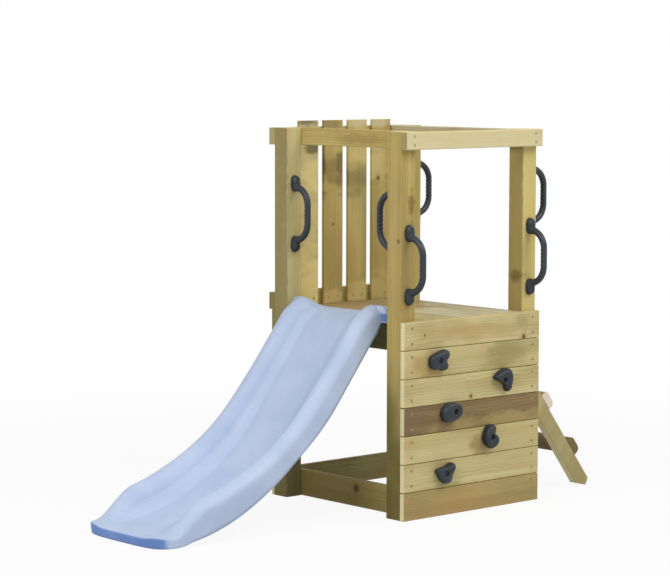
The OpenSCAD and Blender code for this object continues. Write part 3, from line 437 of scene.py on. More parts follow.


# Boards: grain, tone and what else shows on each one. A knot is a middle and a radius. A patch, of stain and
# of painted light and shade alike, is a middle, a reach along each axis, a colour and a strength. The damp
# value darkens a board from the ground up towards the deck: damp, and painted shade under the deck. Middles
# are measured from the tower's ground corner.
BACK_OF_DECK = ((0.3, 0.52, 0.674), (0.5, 0.24, 0.2), "#94794a", 0.8)
DECK_TONES = ("fresh", "fresh", "pale", "pale", "pale")
PLAIN_BEARERS = {"bearer_ladder": GRAIN_Y, "bearer_wall": GRAIN_X, "bearer_back": GRAIN_X}
BOARDS = {
    "post_slide_wall": (GRAIN_Z, "honey", {
        "damp_and_shade": 0.85, "green": 0.4, "stains_and_painted_light": [((0.047, 0, 1.07), (0.02, 0.2, 0.06), "#86652f", 0.8)]}),
    # The narrow patch at X 0 darkens this post's face towards the slide side as painted shade.
    "post_slide_back": (GRAIN_Z, "fresh", {
        "damp_and_shade": 0.5, "stains_and_painted_light": [((0, 0.622, 0.65), (0.003, 0.3, 3), "#857849", 0.8)]}),
    # On this post the narrow patch at X 0.582 darkens its face towards the slide as painted shade.
    "post_ladder_wall": (GRAIN_Z, "fresh", {
        "stains_and_painted_light": [((0.616, 0.034, 1.0), (1, 1, 3), "#d4bf72", 0.65),
                   ((0.582, 0.034, 0.95), (0.003, 0.3, 3), "#8a7442", 0.6),
                   ((0.582, 0.029, 0.797), (0.2, 0.03, 0.024), "#755a33", 0.75)]}),
    "post_ladder_back": (GRAIN_Z, "honey", {}),
    "top_rail_wall": (GRAIN_X, "pale", {
        "green": 0.2, "end": "#918655", "stains_and_painted_light": [((0.33, 0, 1.29), (1, 1, 1), "#ddd09c", 0.7)]}),
    "top_rail_back": (GRAIN_X, "fresh", {"end": "#a89d71"}),
    "top_rail_slide": (GRAIN_Y, "honey", {
        "stains_and_painted_light": [((0.068, 0.27, 1.283), (0.2, 0.17, 0.02), "#8c6f3d", 0.4)]}),
    "top_rail_ladder": (GRAIN_Y, "pale", {}),
    "lower_rail_back": (GRAIN_X, "olive", {"green": 0.6, "end": "#817747"}),
    # Back slat 1: the two pale patches low down are painted light, and the dark patch just under the top
    # rail is painted shadow of the rail, partly real stain.
    "back_slat_1": (GRAIN_Z, "fresh", {
        "green": 0.5,
        "stains_and_painted_light": [((0.15, SLAT_FACE, 0.85), (0.09, 0.3, 0.5), "#d3c280", 0.85),
                   ((0.16, SLAT_FACE, 0.74), (0.09, 0.3, 0.17), "#ecd98e", 0.85),
                   ((0.17, SLAT_FACE, 1.14), (0.06, 0.3, 0.07), "#e0ce8c", 0.7),
                   ((0.165, SLAT_FACE, 1.24), (0.045, 0.2, 0.035), "#665c36", 0.85),
                   ((0.15, SLAT_FACE, 1.332), (0.07, 0.2, 0.025), "#6b6040", 0.8)]}),
    # Back slat 2: the three dark patches just under the top rail are painted shadow of the rail, partly real
    # stain.
    "back_slat_2": (GRAIN_Z, "honey", {
        "warm": 0.7, "knots": [((0.264, SLAT_FACE, 0.961), 0.005)],
        "stains_and_painted_light": [((0.255, SLAT_FACE, 1.165), (0.08, 0.2, 0.07), "#7b6a3c", 0.6),
                   ((0.213, SLAT_FACE, 1.2), (0.02, 0.2, 0.15), "#655230", 0.8),
                   ((0.3, SLAT_FACE, 1.16), (0.025, 0.2, 0.1), "#74643b", 0.7),
                   ((0.25, SLAT_FACE, 1.325), (0.06, 0.2, 0.03), "#8c7c50", 0.8),
                   ((0.26, SLAT_FACE, 0.695), (0.08, 0.2, 0.035), "#d0b577", 0.8)]}),
    "back_slat_3": (GRAIN_Z, "honey", {
        "green": 0.7,
        "stains_and_painted_light": [((0.38, SLAT_FACE, 1.21), (0.08, 0.2, 0.035), "#d2be7a", 0.6),
                   ((0.37, SLAT_FACE, 1.115), (0.07, 0.2, 0.06), "#7d7046", 0.65),
                   ((0.38, SLAT_FACE, 1.325), (0.07, 0.2, 0.02), "#c9bd90", 0.8),
                   ((0.38, SLAT_FACE, 0.71), (0.08, 0.2, 0.05), "#d0ba78", 0.8)]}),
    "back_slat_4": (GRAIN_Z, "honey", {
        "knots": [((0.483, SLAT_FACE, 1.121), 0.008)],
        "stains_and_painted_light": [((0.49, SLAT_FACE, 1.18), (0.08, 0.2, 0.09), "#d0bd80", 0.75),
                   ((0.49, SLAT_FACE, 1.325), (0.07, 0.2, 0.02), "#c9bd90", 0.8),
                   ((0.49, SLAT_FACE, 0.72), (0.08, 0.2, 0.06), "#c8b374", 0.7)]}),
    "wall_plank_1": (GRAIN_X, "fresh", {
        "knots": [((0.571, WALL_FACE, 0.588), 0.010), ((0.093, WALL_FACE, 0.626), 0.004)],
        "stains_and_painted_light": [((0.33, WALL_FACE, 0.62), (0.2, 0.2, 0.035), "#b79a64", 0.55),
                   ((0.567, WALL_FACE, 0.646), (0.045, 0.2, 0.03), "#9c8752", 0.4)]}),
    "wall_plank_2": (GRAIN_X, "fresh", {
        "stains_and_painted_light": [((0.10, WALL_FACE, 0.52), (0.06, 0.2, 0.08), "#a98a52", 0.6),
                   ((0.493, WALL_FACE, 0.535), (0.12, 0.2, 0.055), "#94884f", 0.55)]}),
    "wall_plank_3": (GRAIN_X, "fresh", {
        "green": 0.25, "warm": 0.3, "knots": [((0.313, WALL_FACE, 0.40), 0.007)],
        "stains_and_painted_light": [((0.17, WALL_FACE, 0.42), (0.12, 0.2, 0.05), "#cbbe8a", 0.6)]}),
    "wall_plank_4": (GRAIN_X, "umber", {
        "warm": 0.2,
        "stains_and_painted_light": [((0.45, WALL_FACE, 0.302), (0.33, 0.2, 0.032), "#a8925e", 0.85),
                   ((0.03, WALL_FACE, 0.34), (0.1, 0.2, 0.06), "#7a654a", 0.6)]}),
    "wall_plank_5": (GRAIN_X, "fresh", {
        "stains_and_painted_light": [((0.359, WALL_FACE, 0.222), (0.05, 0.2, 0.06), "#977c4c", 0.75)]}),
    "wall_plank_6": (GRAIN_X, "fresh", {"green": 0.6, "warm": 0.2}),
    "wall_plank_7": (GRAIN_X, "tan", {"warm": 0.5}),
    **{f"deck_board_{i}": (GRAIN_Y, tone, {"stains_and_painted_light": [BACK_OF_DECK]})
       for i, tone in enumerate(DECK_TONES, 1)},
    # The slide's bearer is darkened all over as painted shade under the deck.
    "bearer_slide": (GRAIN_Y, "olive", {"stains_and_painted_light": [((0.05, 0.33, 0.61), (0.3, 0.6, 0.3), "#5c5b36", 0.7)]}),
    **{node: (grain, "olive", {}) for node, grain in PLAIN_BEARERS.items()},
    "apron_back": (GRAIN_X, "olive", {"end": "#817747"}),
    "foot_rail_slide": (GRAIN_Y, "honey", {
        "damp_and_shade": 0.2, "green": 0.6, "knots": [((0.068, 0.295, 0.064), 0.017)]}),
    "foot_rail_back": (GRAIN_X, "fresh", {"damp_and_shade": 0.2}),
    **{f"ladder_stringer_{side}": (GRAIN_SLOPE, "fresh", {"damp_and_shade": 0.35}) for side in ("wall", "back")},
    "ladder_rung_1": (GRAIN_Y, "tan", {}),
    # Rung 2's paler end is painted light on its lit end.
    "ladder_rung_2": (GRAIN_Y, "tan", {"end": "#efe6d2"}),
    # Rung 3's darker tone, darker end and dark patch are painted shade.
    "ladder_rung_3": (GRAIN_Y, "umber", {
        "end": "#75683f", "stains_and_painted_light": [((0.9, 0.3, 0.2), (1, 1, 1), "#5a5032", 0.5)]}),
}


def finish_timber():
    for node, (grain, tone, details) in BOARDS.items():
        cover(node, timber_finish(node, grain, tone, **details))


# Plastic: the name of a piece's shares of painted shade in a deeper colour, what all mouldings have alike,
# and their colours
PAINTED_SHADE_SHARE = "painted_shade_share"
PLASTIC_CLOUDS = ((7, 7, 7), 3)
PLASTIC_GRAIN_DETAIL = 2
PLASTIC_SPECULAR = 0.4
PLASTIC_BUMP = 0.3
PLASTIC_WEAR = 0.12
SLIDE_BLUE = ("#b8c6df", "#aebdd9")
# The deeper blue is painted shade, on the slide's lip, the end of its head and the front of its ears.
SLIDE_PAINTED_SHADE_BLUE = ("#6f90cb", "#6082c0")
HANDLE_GREY = ("#232b32", "#2d363e")
HOLD_GREY = ("#20262d", "#2c343c")


def plastic_finish(name, codes, roughness, grain_size, depth, painted_shade_codes=None):
    """Moulded plastic in two close colours, and in two deeper ones painted as shade where the piece's shares
    of painted shade say so.
    """
    finish = Finish(name)
    clouds = finish.noise(finish.object_coords, *PLASTIC_CLOUDS)
    grain = finish.noise(finish.object_coords, (1 / grain_size,) * 3, PLASTIC_GRAIN_DETAIL)
    cloudy = finish.ramp(clouds, *MIDDLE_BAND)
    colour = finish.blend(cloudy, *[paint(code) for code in codes])
    if painted_shade_codes:
        painted_shade = finish.add("ShaderNodeAttribute", attribute_name=PAINTED_SHADE_SHARE).outputs["Fac"]
        colour = finish.blend(painted_shade, colour, finish.blend(cloudy, *[paint(code) for code in painted_shade_codes]))
    worn = finish.ramp(clouds, *WIDE_BAND, roughness, roughness + PLASTIC_WEAR)
    finish.feed(finish.shader, {"Base Color": colour, "Roughness": worn,
                                "Specular IOR Level": PLASTIC_SPECULAR})
    finish.bump(grain, PLASTIC_BUMP, depth)
    return finish.material


# Fasteners: two close colours of each steel, and the screws and bolts that are made of it
STEEL_WEAR = ((160, 160, 160), 3)
STEEL_METALLIC = 0.7
STEEL_ROUGHNESS = (0.4, 0.6)
STEELS = {
    "yellow_zinc": ("#a89764", "#8a7b50", (
        "plank_screws", "deck_screws", "bearer_screws", "foot_rail_screws", "ladder_screws")),
    "dark_steel": ("#3c3f42", "#2c2e30", ("handle_screws", "hold_bolts")),
    "bright_zinc": ("#b3a676", "#a09468", ("slat_screws", "slide_screws", "top_rail_screws")),
}


def steel_finish(name, code, shade_code):
    finish = Finish(name)
    wear = finish.noise(finish.object_coords, *STEEL_WEAR)
    colour = finish.blend(finish.ramp(wear, *MIDDLE_BAND), paint(code), paint(shade_code))
    roughness = finish.ramp(wear, *WIDE_BAND, *STEEL_ROUGHNESS)
    finish.feed(finish.shader, {"Base Color": colour, "Metallic": STEEL_METALLIC, "Roughness": roughness})
    return finish.material


def finish_fasteners():
    for name, (code, shade_code, nodes) in STEELS.items():
        finish = steel_finish(name, code, shade_code)
        for node in nodes:
            cover(node, finish)


# Slide: path of the moulding
SLIDE_ANGLE = math.radians(52)
EXIT_ANGLE = math.radians(8)
CREST_RADIUS = 0.120
FOOT_RADIUS = 0.800
EXIT_LENGTH = 0.122
LIP_HEIGHT = 0.030
HEAD_RISE = 0.014
HEAD_FLAT = 0.044
HEAD_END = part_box("slide")[1].x
BED_TOP = DECK_TOP + HEAD_RISE
SLIDE_MIDDLE = (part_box("slide")[0].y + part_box("slide")[1].y) / 2
SHOULDER_X = CORNER.x + 0.014
SHOULDER_STEP = 0.002

# Slide: section of the moulding
HEAD_HALF = 0.245
SLIDE_HALF = 0.216
BED_HALF = 0.100
RIM_HALF = 0.038
RIM_UPPER, RIM_LOWER, RIM_LIP = 0.040, 0.081, 0.007
RIM_START = 0.006
RIM_ROUNDNESS = 0.8
SKIRT_UPPER, SKIRT_LOWER, SKIRT_FOOT = 0.047, 0.021, 0.031
CORNER_LIFT = 0.005
EDGE_FALL = 0.001
SLIDE_WALL = 0.0045
SCREW_DIP = 0.0006
LIP_ROLL = 0.005
LIP_INSET = 0.0002
FADE_AHEAD, FADE_LENGTH = 0.09, 0.19
CREASE_DEPTH = 0.0045
EAR_BAND = 0.013
MERGE_DISTANCE = 0.00005

# Slide: shares of a stretch's length at which the rims and the skirt change
RIM_GROWS_FROM, RIM_GROWN_AT = 0.4, 0.72
SKIRT_DROPPED_AT = 0.8
SKIRT_THINS_FROM, SKIRT_THIN_AT = 0.75, 0.27
SKIRT_LOWERS_FROM = 0.4

# Slide: shares of the section, squareness of the lip, and steps across the section
LEDGE_SHARE, LEDGE_RISE = 0.5, 0.35
CREASE_SHARE = 0.08
LIP_SQUARENESS, LIP_CORNER = 4.5, 0.985
CORNER_SHARPNESS = 4
PAINTED_SHADE_FROM, PAINTED_SHADE_TO = 0.90, 0.97
BED_STEPS, RISE_STEPS, ROUND_STEPS, SKIRT_STEPS = 5, 30, 10, 5

exit_drop = EXIT_LENGTH * math.tan(EXIT_ANGLE)
crest_drop = CREST_RADIUS * (1 - math.cos(SLIDE_ANGLE))
foot_drop = FOOT_RADIUS * (math.cos(EXIT_ANGLE) - math.cos(SLIDE_ANGLE))
straight_length = (BED_TOP - LIP_HEIGHT - exit_drop - crest_drop - foot_drop) / math.sin(SLIDE_ANGLE)
crest_length = CREST_RADIUS * SLIDE_ANGLE
foot_length = FOOT_RADIUS * (SLIDE_ANGLE - EXIT_ANGLE)
crest_x = HEAD_END - HEAD_FLAT
straight_x = crest_x - CREST_RADIUS * math.sin(SLIDE_ANGLE)
exit_x = (straight_x - straight_length * math.cos(SLIDE_ANGLE)
          - FOOT_RADIUS * (math.sin(SLIDE_ANGLE) - math.sin(EXIT_ANGLE)))
exit_z = LIP_HEIGHT + exit_drop

# Distances along the slide from the end of its head
s_crest = HEAD_FLAT
s_straight = s_crest + crest_length
s_foot = s_straight + straight_length
s_exit = s_foot + foot_length
s_lip = s_exit + EXIT_LENGTH - LIP_INSET
s_shoulder = s_crest + CREST_RADIUS * math.asin((crest_x - SHOULDER_X) / CREST_RADIUS)

# Where each stretch of the slide starts, and how many rows of points it has
STRETCHES = [
    (0, 8), (s_crest, 4), (s_shoulder - SHOULDER_STEP / 2, 3), (s_shoulder + SHOULDER_STEP, 14),
    (s_straight, 18), (s_foot, 46), (s_exit, 24), (s_lip - LIP_ROLL, 4),
]


def slide_stations():
    """Distances along the slide of its rows of points."""
    ends = [start for start, count in STRETCHES[1:]] + [s_lip]
    stations = []
    for (start, count), end in zip(STRETCHES, ends):
        stations += spread(start, end, count)
    return stations + [s_lip]


def slide_path(s):
    """X, Z and slope of the sliding surface at a distance along the slide."""
    if s <= s_crest:
        return HEAD_END - s, BED_TOP, 0
    if s <= s_straight:
        a = (s - s_crest) / CREST_RADIUS
        return crest_x - CREST_RADIUS * math.sin(a), BED_TOP - CREST_RADIUS * (1 - math.cos(a)), a
    if s <= s_foot:
        d = s - s_straight
        return (straight_x - d * math.cos(SLIDE_ANGLE), BED_TOP - crest_drop - d * math.sin(SLIDE_ANGLE),
                SLIDE_ANGLE)
    if s <= s_exit:
        a = SLIDE_ANGLE - (s - s_foot) / FOOT_RADIUS
        return (exit_x + FOOT_RADIUS * (math.sin(a) - math.sin(EXIT_ANGLE)),
                exit_z + FOOT_RADIUS * (math.cos(EXIT_ANGLE) - math.cos(a)), a)
    return exit_x, exit_z - (s - s_exit) * math.tan(EXIT_ANGLE), EXIT_ANGLE


def rim_height(s):
    """The rims rise out of the head, grow down the run and die away into the exit."""
    x = max(0, slide_path(s)[0] - CORNER.x)
    risen = max(0, 1 - (x / (HEAD_END - CORNER.x - RIM_START)) ** 2)
    grown = progress(s, s_straight + RIM_GROWS_FROM * straight_length, s_foot + RIM_GROWN_AT * foot_length)
    kept = 1 - progress(s, s_exit - FADE_AHEAD, s_exit - FADE_AHEAD + FADE_LENGTH)
    return mix(RIM_LIP, mix(RIM_UPPER, RIM_LOWER, grown) * risen, kept)


def skirt_depth(s):
    """The skirt drops below the deck, thins down the run and comes to the ground along the exit."""
    if s > s_exit:
        gap = exit_z - SKIRT_FOOT * math.cos(EXIT_ANGLE)
        landing = mix(CORNER_LIFT, gap, (1 - (s - s_exit) / EXIT_LENGTH) ** 2)
        return (slide_path(s)[1] - landing) / math.cos(EXIT_ANGLE)
    dropped = progress(s, s_crest, s_crest + SKIRT_DROPPED_AT * crest_length)
    thinned = progress(s, s_straight + SKIRT_THINS_FROM * straight_length,
                       s_foot + SKIRT_THIN_AT * foot_length)
    lowered = progress(s, s_foot + SKIRT_LOWERS_FROM * foot_length, s_exit)
    upper = mix(HEAD_RISE, SKIRT_UPPER, dropped)
    return mix(mix(upper, SKIRT_LOWER, thinned), SKIRT_FOOT, lowered)


def inner_rise(t):
    """Share of the rim's height from the bed's edge to the crest: a shallow ledge, then a steep side."""
    if t < LEDGE_SHARE:
        return LEDGE_RISE * t / LEDGE_SHARE
    return mix(LEDGE_RISE, 1, math.sin(math.pi / 2 * (t - LEDGE_SHARE) / (1 - LEDGE_SHARE)))


def crease(t):
    """Share of a crease's depth, along the bed's edge and along the foot of the rim's steep side."""
    return max(0, 1 - min(t / 2, abs(t - LEDGE_SHARE)) / CREASE_SHARE)


def half_section(s):
    """Half width, and places across and above the bed from its middle out: bed, rise, round rim, skirt."""
    half = HEAD_HALF if slide_path(s)[0] > SHOULDER_X else SLIDE_HALF
    rim, skirt = rim_height(s), skirt_depth(s)
    crest = half - RIM_HALF
    fall = min(RIM_HALF, EDGE_FALL + RIM_ROUNDNESS * rim)
    evened = progress(s, s_exit, s_exit + EXIT_LENGTH)
    sunk = CREASE_DEPTH * min(1, rim / RIM_UPPER) * (1 - evened)
    bed = [(a, 0) for a in spread(0, BED_HALF, BED_STEPS)]
    rise = [(mix(BED_HALF, crest, t), rim * mix(inner_rise(t), ease(t), evened) - sunk * crease(t))
            for t in spread(0, 1, RISE_STEPS)]
    turns = [i * math.pi / 2 / ROUND_STEPS for i in range(ROUND_STEPS + 1)]
    rounded = [(crest + RIM_HALF * math.sin(a), rim - fall * (1 - math.cos(a))) for a in turns]
    steps = [i / SKIRT_STEPS for i in range(1, SKIRT_STEPS + 1)]
    return half, bed + rise + rounded + [(half, mix(rim - fall, -skirt, t)) for t in steps]


def slide_row(s):
    """A row of the moulding's outer surface, from the wall side to the back side, rolled over at the lip."""
    half, section = half_section(s)
    x, z, slope = slide_path(s)
    passed = max(0, s - s_exit)
    rolled = min(1, max(0, (s - s_lip) / LIP_ROLL + 1))
    dip = LIP_ROLL * (1 - math.sqrt(1 - rolled ** 2))
    side = []
    for k, (across, above) in enumerate(section):
        plan = (1 - (LIP_CORNER * across / half) ** LIP_SQUARENESS) ** (1 / LIP_SQUARENESS)
        hanging = max(0, k - len(section) + 1 + SKIRT_STEPS) / SKIRT_STEPS
        side.append((across, x - above * math.sin(slope) - passed * plan,
                     z + above * math.cos(slope) - dip * (1 - hanging)))
    return ([Vector((px, SLIDE_MIDDLE - across, pz)) for across, px, pz in reversed(side[1:])]
            + [Vector((px, SLIDE_MIDDLE + across, pz)) for across, px, pz in side])


def shaped_grid(shape, rows):
    """A grid whose points take the places in the rows; gives the row of each point."""
    long_way, short_way = len(rows) - 1, len(rows[0]) - 1
    made = bmesh.ops.create_grid(shape, x_segments=long_way, y_segments=short_way, size=0.5)["verts"]
    row_of = {}
    for vert in made:
        i = round((vert.co.x + 0.5) * long_way)
        j = round((vert.co.y + 0.5) * short_way)
        vert.co = rows[i][j]
        row_of[vert] = i
    return row_of


def end_wall(shape, row, floor):
    """Closes an end of the slide, in the skirt's steps, down to a floor given for each share across."""
    top = row[SKIRT_STEPS:len(row) - SKIRT_STEPS]
    lean = row[0].x - top[0].x
    half = abs(top[0].y - SLIDE_MIDDLE)
    rows = []
    for k in range(SKIRT_STEPS + 1):
        t = k / SKIRT_STEPS
        rows.append([Vector((p.x + lean * t, p.y, mix(p.z, floor(abs(p.y - SLIDE_MIDDLE) / half), t)))
                     for p in top])
    return shaped_grid(shape, rows)


def inside_lip(vert):
    """1 along the lip and 0 at its corners, where the deeper colour of painted shade ends."""
    return 1 - progress(abs(vert.co.y - SLIDE_MIDDLE) / SLIDE_HALF, PAINTED_SHADE_FROM, PAINTED_SHADE_TO)


def on_ear(face):
    """Whether a face is on the front of an ear, where the head is wider than the run."""
    middle = face.calc_center_median()
    return (abs(middle.y - SLIDE_MIDDLE) > SLIDE_HALF + SHOULDER_STEP
            and abs(middle.x - SHOULDER_X) < 2 * SHOULDER_STEP
            and abs(middle.z - slide_path(s_shoulder)[1]) < EAR_BAND)


def moulded_slide():
    """One shell with a deeper colour painted as shade on its lip, the end of its head and the front of its
    ears.
    """
    stations = slide_stations()
    rows = [slide_row(s) for s in stations]
    shape = bmesh.new()
    painted_shade = shape.loops.layers.float.new(PAINTED_SHADE_SHARE)
    surface = shaped_grid(shape, rows)
    lip = end_wall(shape, rows[-1], lambda share: CORNER_LIFT * share ** CORNER_SHARPNESS)
    head = end_wall(shape, rows[0], lambda share: DECK_TOP)
    # Shares of painted shade: the lip, the head's end and the ear fronts take the deeper blue.
    shares = {vert: progress(stations[i], s_lip - LIP_ROLL, s_lip) * inside_lip(vert)
              for vert, i in surface.items()}
    shares.update({vert: inside_lip(vert) for vert in lip})
    shares.update({vert: 1 for vert in head})
    for face in shape.faces:
        ear = on_ear(face)
        for corner in face.loops:
            corner[painted_shade] = 1 if ear else shares[corner.vert]
    # The head's bed is set down a little, so that its flush screw heads show
    for vert in shape.verts:
        if vert.co.x > CORNER.x + POST_SIDE and abs(vert.co.z - BED_TOP) < SCREW_DIP:
            vert.co.z -= SCREW_DIP
    bmesh.ops.remove_doubles(shape, verts=shape.verts, dist=MERGE_DISTANCE)
    bmesh.ops.recalc_face_normals(shape, faces=shape.faces)
    piece = new_object("moulded_slide", shape)
    smooth_shaded(piece)
    wall = piece.modifiers.new("wall", "SOLIDIFY")
    wall.thickness = SLIDE_WALL
    wall.offset = -1
    finish = plastic_finish("slide_blue", SLIDE_BLUE, roughness=0.42, grain_size=0.0035, depth=0.0004,
                            painted_shade_codes=SLIDE_PAINTED_SHADE_BLUE)
    dress(piece, "slide", finish)


# Handles: a bumped round grip between two domed feet, drawn upright with its back at Y zero
HANDLE_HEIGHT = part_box("handle_wall_slide")[1].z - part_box("handle_wall_slide")[0].z
HANDLE_REACH = 0.072
GRIP_RADIUS = 0.0115
GRIP_BEND = 0.060
ARM_INSET = 0.044
GRIP_FLARE, FLARE_SHARE = 0.25, 0.16
GRIP_RINGS = 170
GRIP_SIDES = 28
FINGER_PITCH = 0.0135
FINGER_DEPTH = 0.0056
FINGER_SPAN, FINGER_FADE = 0.052, 0.012
FOOT_HALVES = Vector((0.017, 0.025, 0.0275))
FOOT_FULLNESS = 2.4
FOOT_SIDES, FOOT_RINGS = 64, 48
SCREW_INSET = 0.014
SCREW_RECESS = 0.0065
SCREW_SEAT = 0.0192
CUT_TOLERANCE = 1e-6
HANDLE_VOXEL = 0.0014
SOFTENING, SOFTENING_ROUNDS = 0.5, 5

# Which way each handle stands off its post, and the turn about Z that brings it there
FACING_BACK = (Vector((0, 1, 0)), 0)
FACING_WALL = (Vector((0, -1, 0)), math.pi)
FACING_LADDER = (Vector((1, 0, 0)), -math.pi / 2)
HANDLES = {
    "handle_slide_wall": FACING_BACK,
    "handle_slide_back": FACING_WALL,
    "handle_wall_slide": FACING_WALL,
    "handle_wall_ladder": FACING_WALL,
    "handle_ladder_wall": FACING_LADDER,
    "handle_ladder_back": FACING_LADDER,
}


def grip_line(t):
    """Distance off the post and height of the grip's middle, and its heading, for t from 0 to 1."""
    arm = HANDLE_HEIGHT / 2 - ARM_INSET
    straight = 2 * (arm - GRIP_BEND)
    stub = HANDLE_REACH - GRIP_BEND
    quarter = GRIP_BEND * math.pi / 2
    whole = 2 * stub + 2 * quarter + straight
    d = t * whole
    side = -1
    if d > whole / 2:
        d = whole - d
        side = 1
    if d < stub:
        off, height, heading = d, arm, 0
    elif d < stub + quarter:
        heading = (d - stub) / GRIP_BEND
        off = stub + GRIP_BEND * math.sin(heading)
        height = arm - GRIP_BEND * (1 - math.cos(heading))
    else:
        off, height, heading = HANDLE_REACH, straight / 2 - (d - stub - quarter), math.pi / 2
    return off, side * height, (heading if side < 0 else math.pi - heading)


def finger_bump(height):
    """How far the inner side of the grip is drawn in between two bumps."""
    fade = 1 - progress(abs(height), FINGER_SPAN - FINGER_FADE, FINGER_SPAN)
    wave = (1 - math.cos(2 * math.pi * height / FINGER_PITCH)) / 2
    return FINGER_DEPTH * fade * wave ** 2


def add_grip(shape):
    """A round bar along the grip's line, flared at its ends and bumped on its inner side."""
    bmesh.ops.create_cone(shape, cap_ends=True, segments=GRIP_SIDES, radius1=GRIP_RADIUS,
                          radius2=GRIP_RADIUS, depth=1)
    upright = [e for e in shape.edges if abs(e.verts[0].co.z - e.verts[1].co.z) > 0.5]
    bmesh.ops.subdivide_edges(shape, edges=upright, cuts=GRIP_RINGS)
    for vert in shape.verts:
        along = vert.co.z + 0.5
        off, height, heading = grip_line(along)
        inner = max(0, -vert.co.y / GRIP_RADIUS)
        flare = 1 + GRIP_FLARE * (1 - ease(min(along, 1 - along) / FLARE_SHARE))
        push = vert.co.y * flare + finger_bump(height) * inner ** 2
        vert.co = (vert.co.x * flare, off + push * math.sin(heading), height - push * math.cos(heading))


def add_foot(shape, end):
    """A domed foot at the lower or the upper end, with a flat seat for its screw."""
    foot = bmesh.ops.create_uvsphere(shape, u_segments=FOOT_SIDES, v_segments=FOOT_RINGS, radius=1)["verts"]
    for vert in foot:
        vert.co /= sum(abs(c) ** FOOT_FULLNESS for c in vert.co) ** (1 / FOOT_FULLNESS)
    bmesh.ops.scale(shape, vec=FOOT_HALVES, verts=foot)
    bmesh.ops.translate(shape, vec=(0, 0, end * (HANDLE_HEIGHT / 2 - FOOT_HALVES.z)), verts=foot)
    for vert in foot:
        if math.hypot(vert.co.x, vert.co.z - end * (HANDLE_HEIGHT / 2 - SCREW_INSET)) < SCREW_RECESS:
            vert.co.y = min(vert.co.y, SCREW_SEAT)


def cut_back_flat(shape):
    """Cuts off what lies behind the post's face and closes the cut."""
    everything = shape.verts[:] + shape.edges[:] + shape.faces[:]
    cut = bmesh.ops.bisect_plane(shape, geom=everything, dist=CUT_TOLERANCE, plane_co=(0, 0, 0),
                                 plane_no=(0, 1, 0), clear_inner=True)["geom_cut"]
    bmesh.ops.holes_fill(shape, edges=[e for e in cut if isinstance(e, bmesh.types.BMEdge)], sides=0)


def grab_handle(node, outward, turn, finish):
    shape = bmesh.new()
    add_grip(shape)
    for end in (-1, 1):
        add_foot(shape, end)
    bmesh.ops.recalc_face_normals(shape, faces=shape.faces)
    cut_back_flat(shape)
    bmesh.ops.transform(shape, matrix=Matrix.Rotation(turn, 4, "Z"), verts=shape.verts)
    low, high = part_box(node)
    seat = (low + high) / 2 - outward * (abs((high - low).dot(outward)) / 2)
    bmesh.ops.translate(shape, vec=seat, verts=shape.verts)
    bmesh.ops.recalc_face_normals(shape, faces=shape.faces)
    piece = new_object(node.replace("handle", "grab_handle"), shape)
    blended = piece.modifiers.new("one_moulding", "REMESH")
    blended.mode = "VOXEL"
    blended.voxel_size = HANDLE_VOXEL
    blended.use_smooth_shade = True
    softened = piece.modifiers.new("softened", "SMOOTH")
    softened.factor = SOFTENING
    softened.iterations = SOFTENING_ROUNDS
    dress(piece, node, finish)


def grab_handles():
    finish = plastic_finish("handle_grey", HANDLE_GREY, roughness=0.34, grain_size=0.002, depth=0.0003)
    for node, (outward, turn) in HANDLES.items():
        grab_handle(node, outward, turn, finish)


# Holds: rings from the wall up to the top, each with its share of the outline and its share of the height
MM = 0.001
HOLD_HEIGHT = 0.038
HOLD_SIDES = 64
HOLD_PROFILE = [(1.0, 0.18), (1.0, 0.46), (0.97, 0.71), (0.90, 0.88), (0.77, 0.97), (0.54, 1.0)]

# Bolt recess: shares of its radius, with shares of the hold's height at its mouth and heights at its floor
BOLT_RECESS = 0.0095
RECESS_FLOOR = 0.020
RECESS_ROUND = 0.001
RECESS_MOUTH = [(1.25, 0.98), (1.0, 0.92)]
RECESS_FOOT = [(0.98, RECESS_FLOOR + RECESS_ROUND), (0.9, RECESS_FLOOR)]

# Outlines round the bolt in millimetres, each point with its share of the hold's height
HOLD_OUTLINES = {
    "climbing_hold_1": [(-34, -12, 0.7), (-34, 9, 0.7), (-25, 20, 0.8), (-7, 27, 0.9), (15, 34, 1),
                        (34, 37, 1), (43, 28, 1), (43, 14, 0.95), (40, 3, 0.75), (40, -6, 0.7),
                        (43, -17, 0.8), (39, -31, 0.8), (23, -36, 0.65), (3, -30, 0.6), (-18, -29, 0.6),
                        (-30, -21, 0.65)],
    "climbing_hold_2": [(-36, 13, 0.75), (-29, 21, 0.8), (-7, 34, 0.9), (14, 40, 1), (28, 38, 1),
                        (37, 26, 1), (41, 6, 1), (39, -16, 0.95), (35, -37, 0.85), (27, -43, 0.7),
                        (20, -39, 0.65), (16, -24, 0.7), (5, -12, 0.8), (-14, -4, 0.8), (-28, 2, 0.75)],
    "climbing_hold_3": [(-51, -2, 0.7), (-45, 13, 0.75), (-26, 28, 0.85), (-2, 31, 0.95), (22, 25, 1),
                        (33, 6, 1), (29, -13, 0.95), (13, -27, 0.85), (-8, -34, 0.75), (-26, -35, 0.7),
                        (-42, -27, 0.7)],
    "climbing_hold_4": [(-28, 5, 0.8), (-22, 24, 0.85), (-9, 40, 0.9), (7, 43, 0.9), (18, 38, 0.85),
                        (20, 27, 0.8), (18, 14, 0.7), (27, 3, 0.9), (31, -12, 1), (28, -28, 0.95),
                        (17, -40, 0.8), (3, -42, 0.7), (-7, -35, 0.75), (-19, -26, 0.8), (-27, -11, 0.8)],
    "climbing_hold_5": [(-37, 12, 0.6), (-24, 19, 0.7), (1, 24, 0.85), (23, 33, 1), (34, 34, 1),
                        (39, 22, 1), (39, 7, 0.85), (37, -7, 0.65), (34, -18, 0.65), (25, -30, 0.75),
                        (11, -37, 0.7), (-6, -32, 0.7), (-23, -14, 0.65)],
}


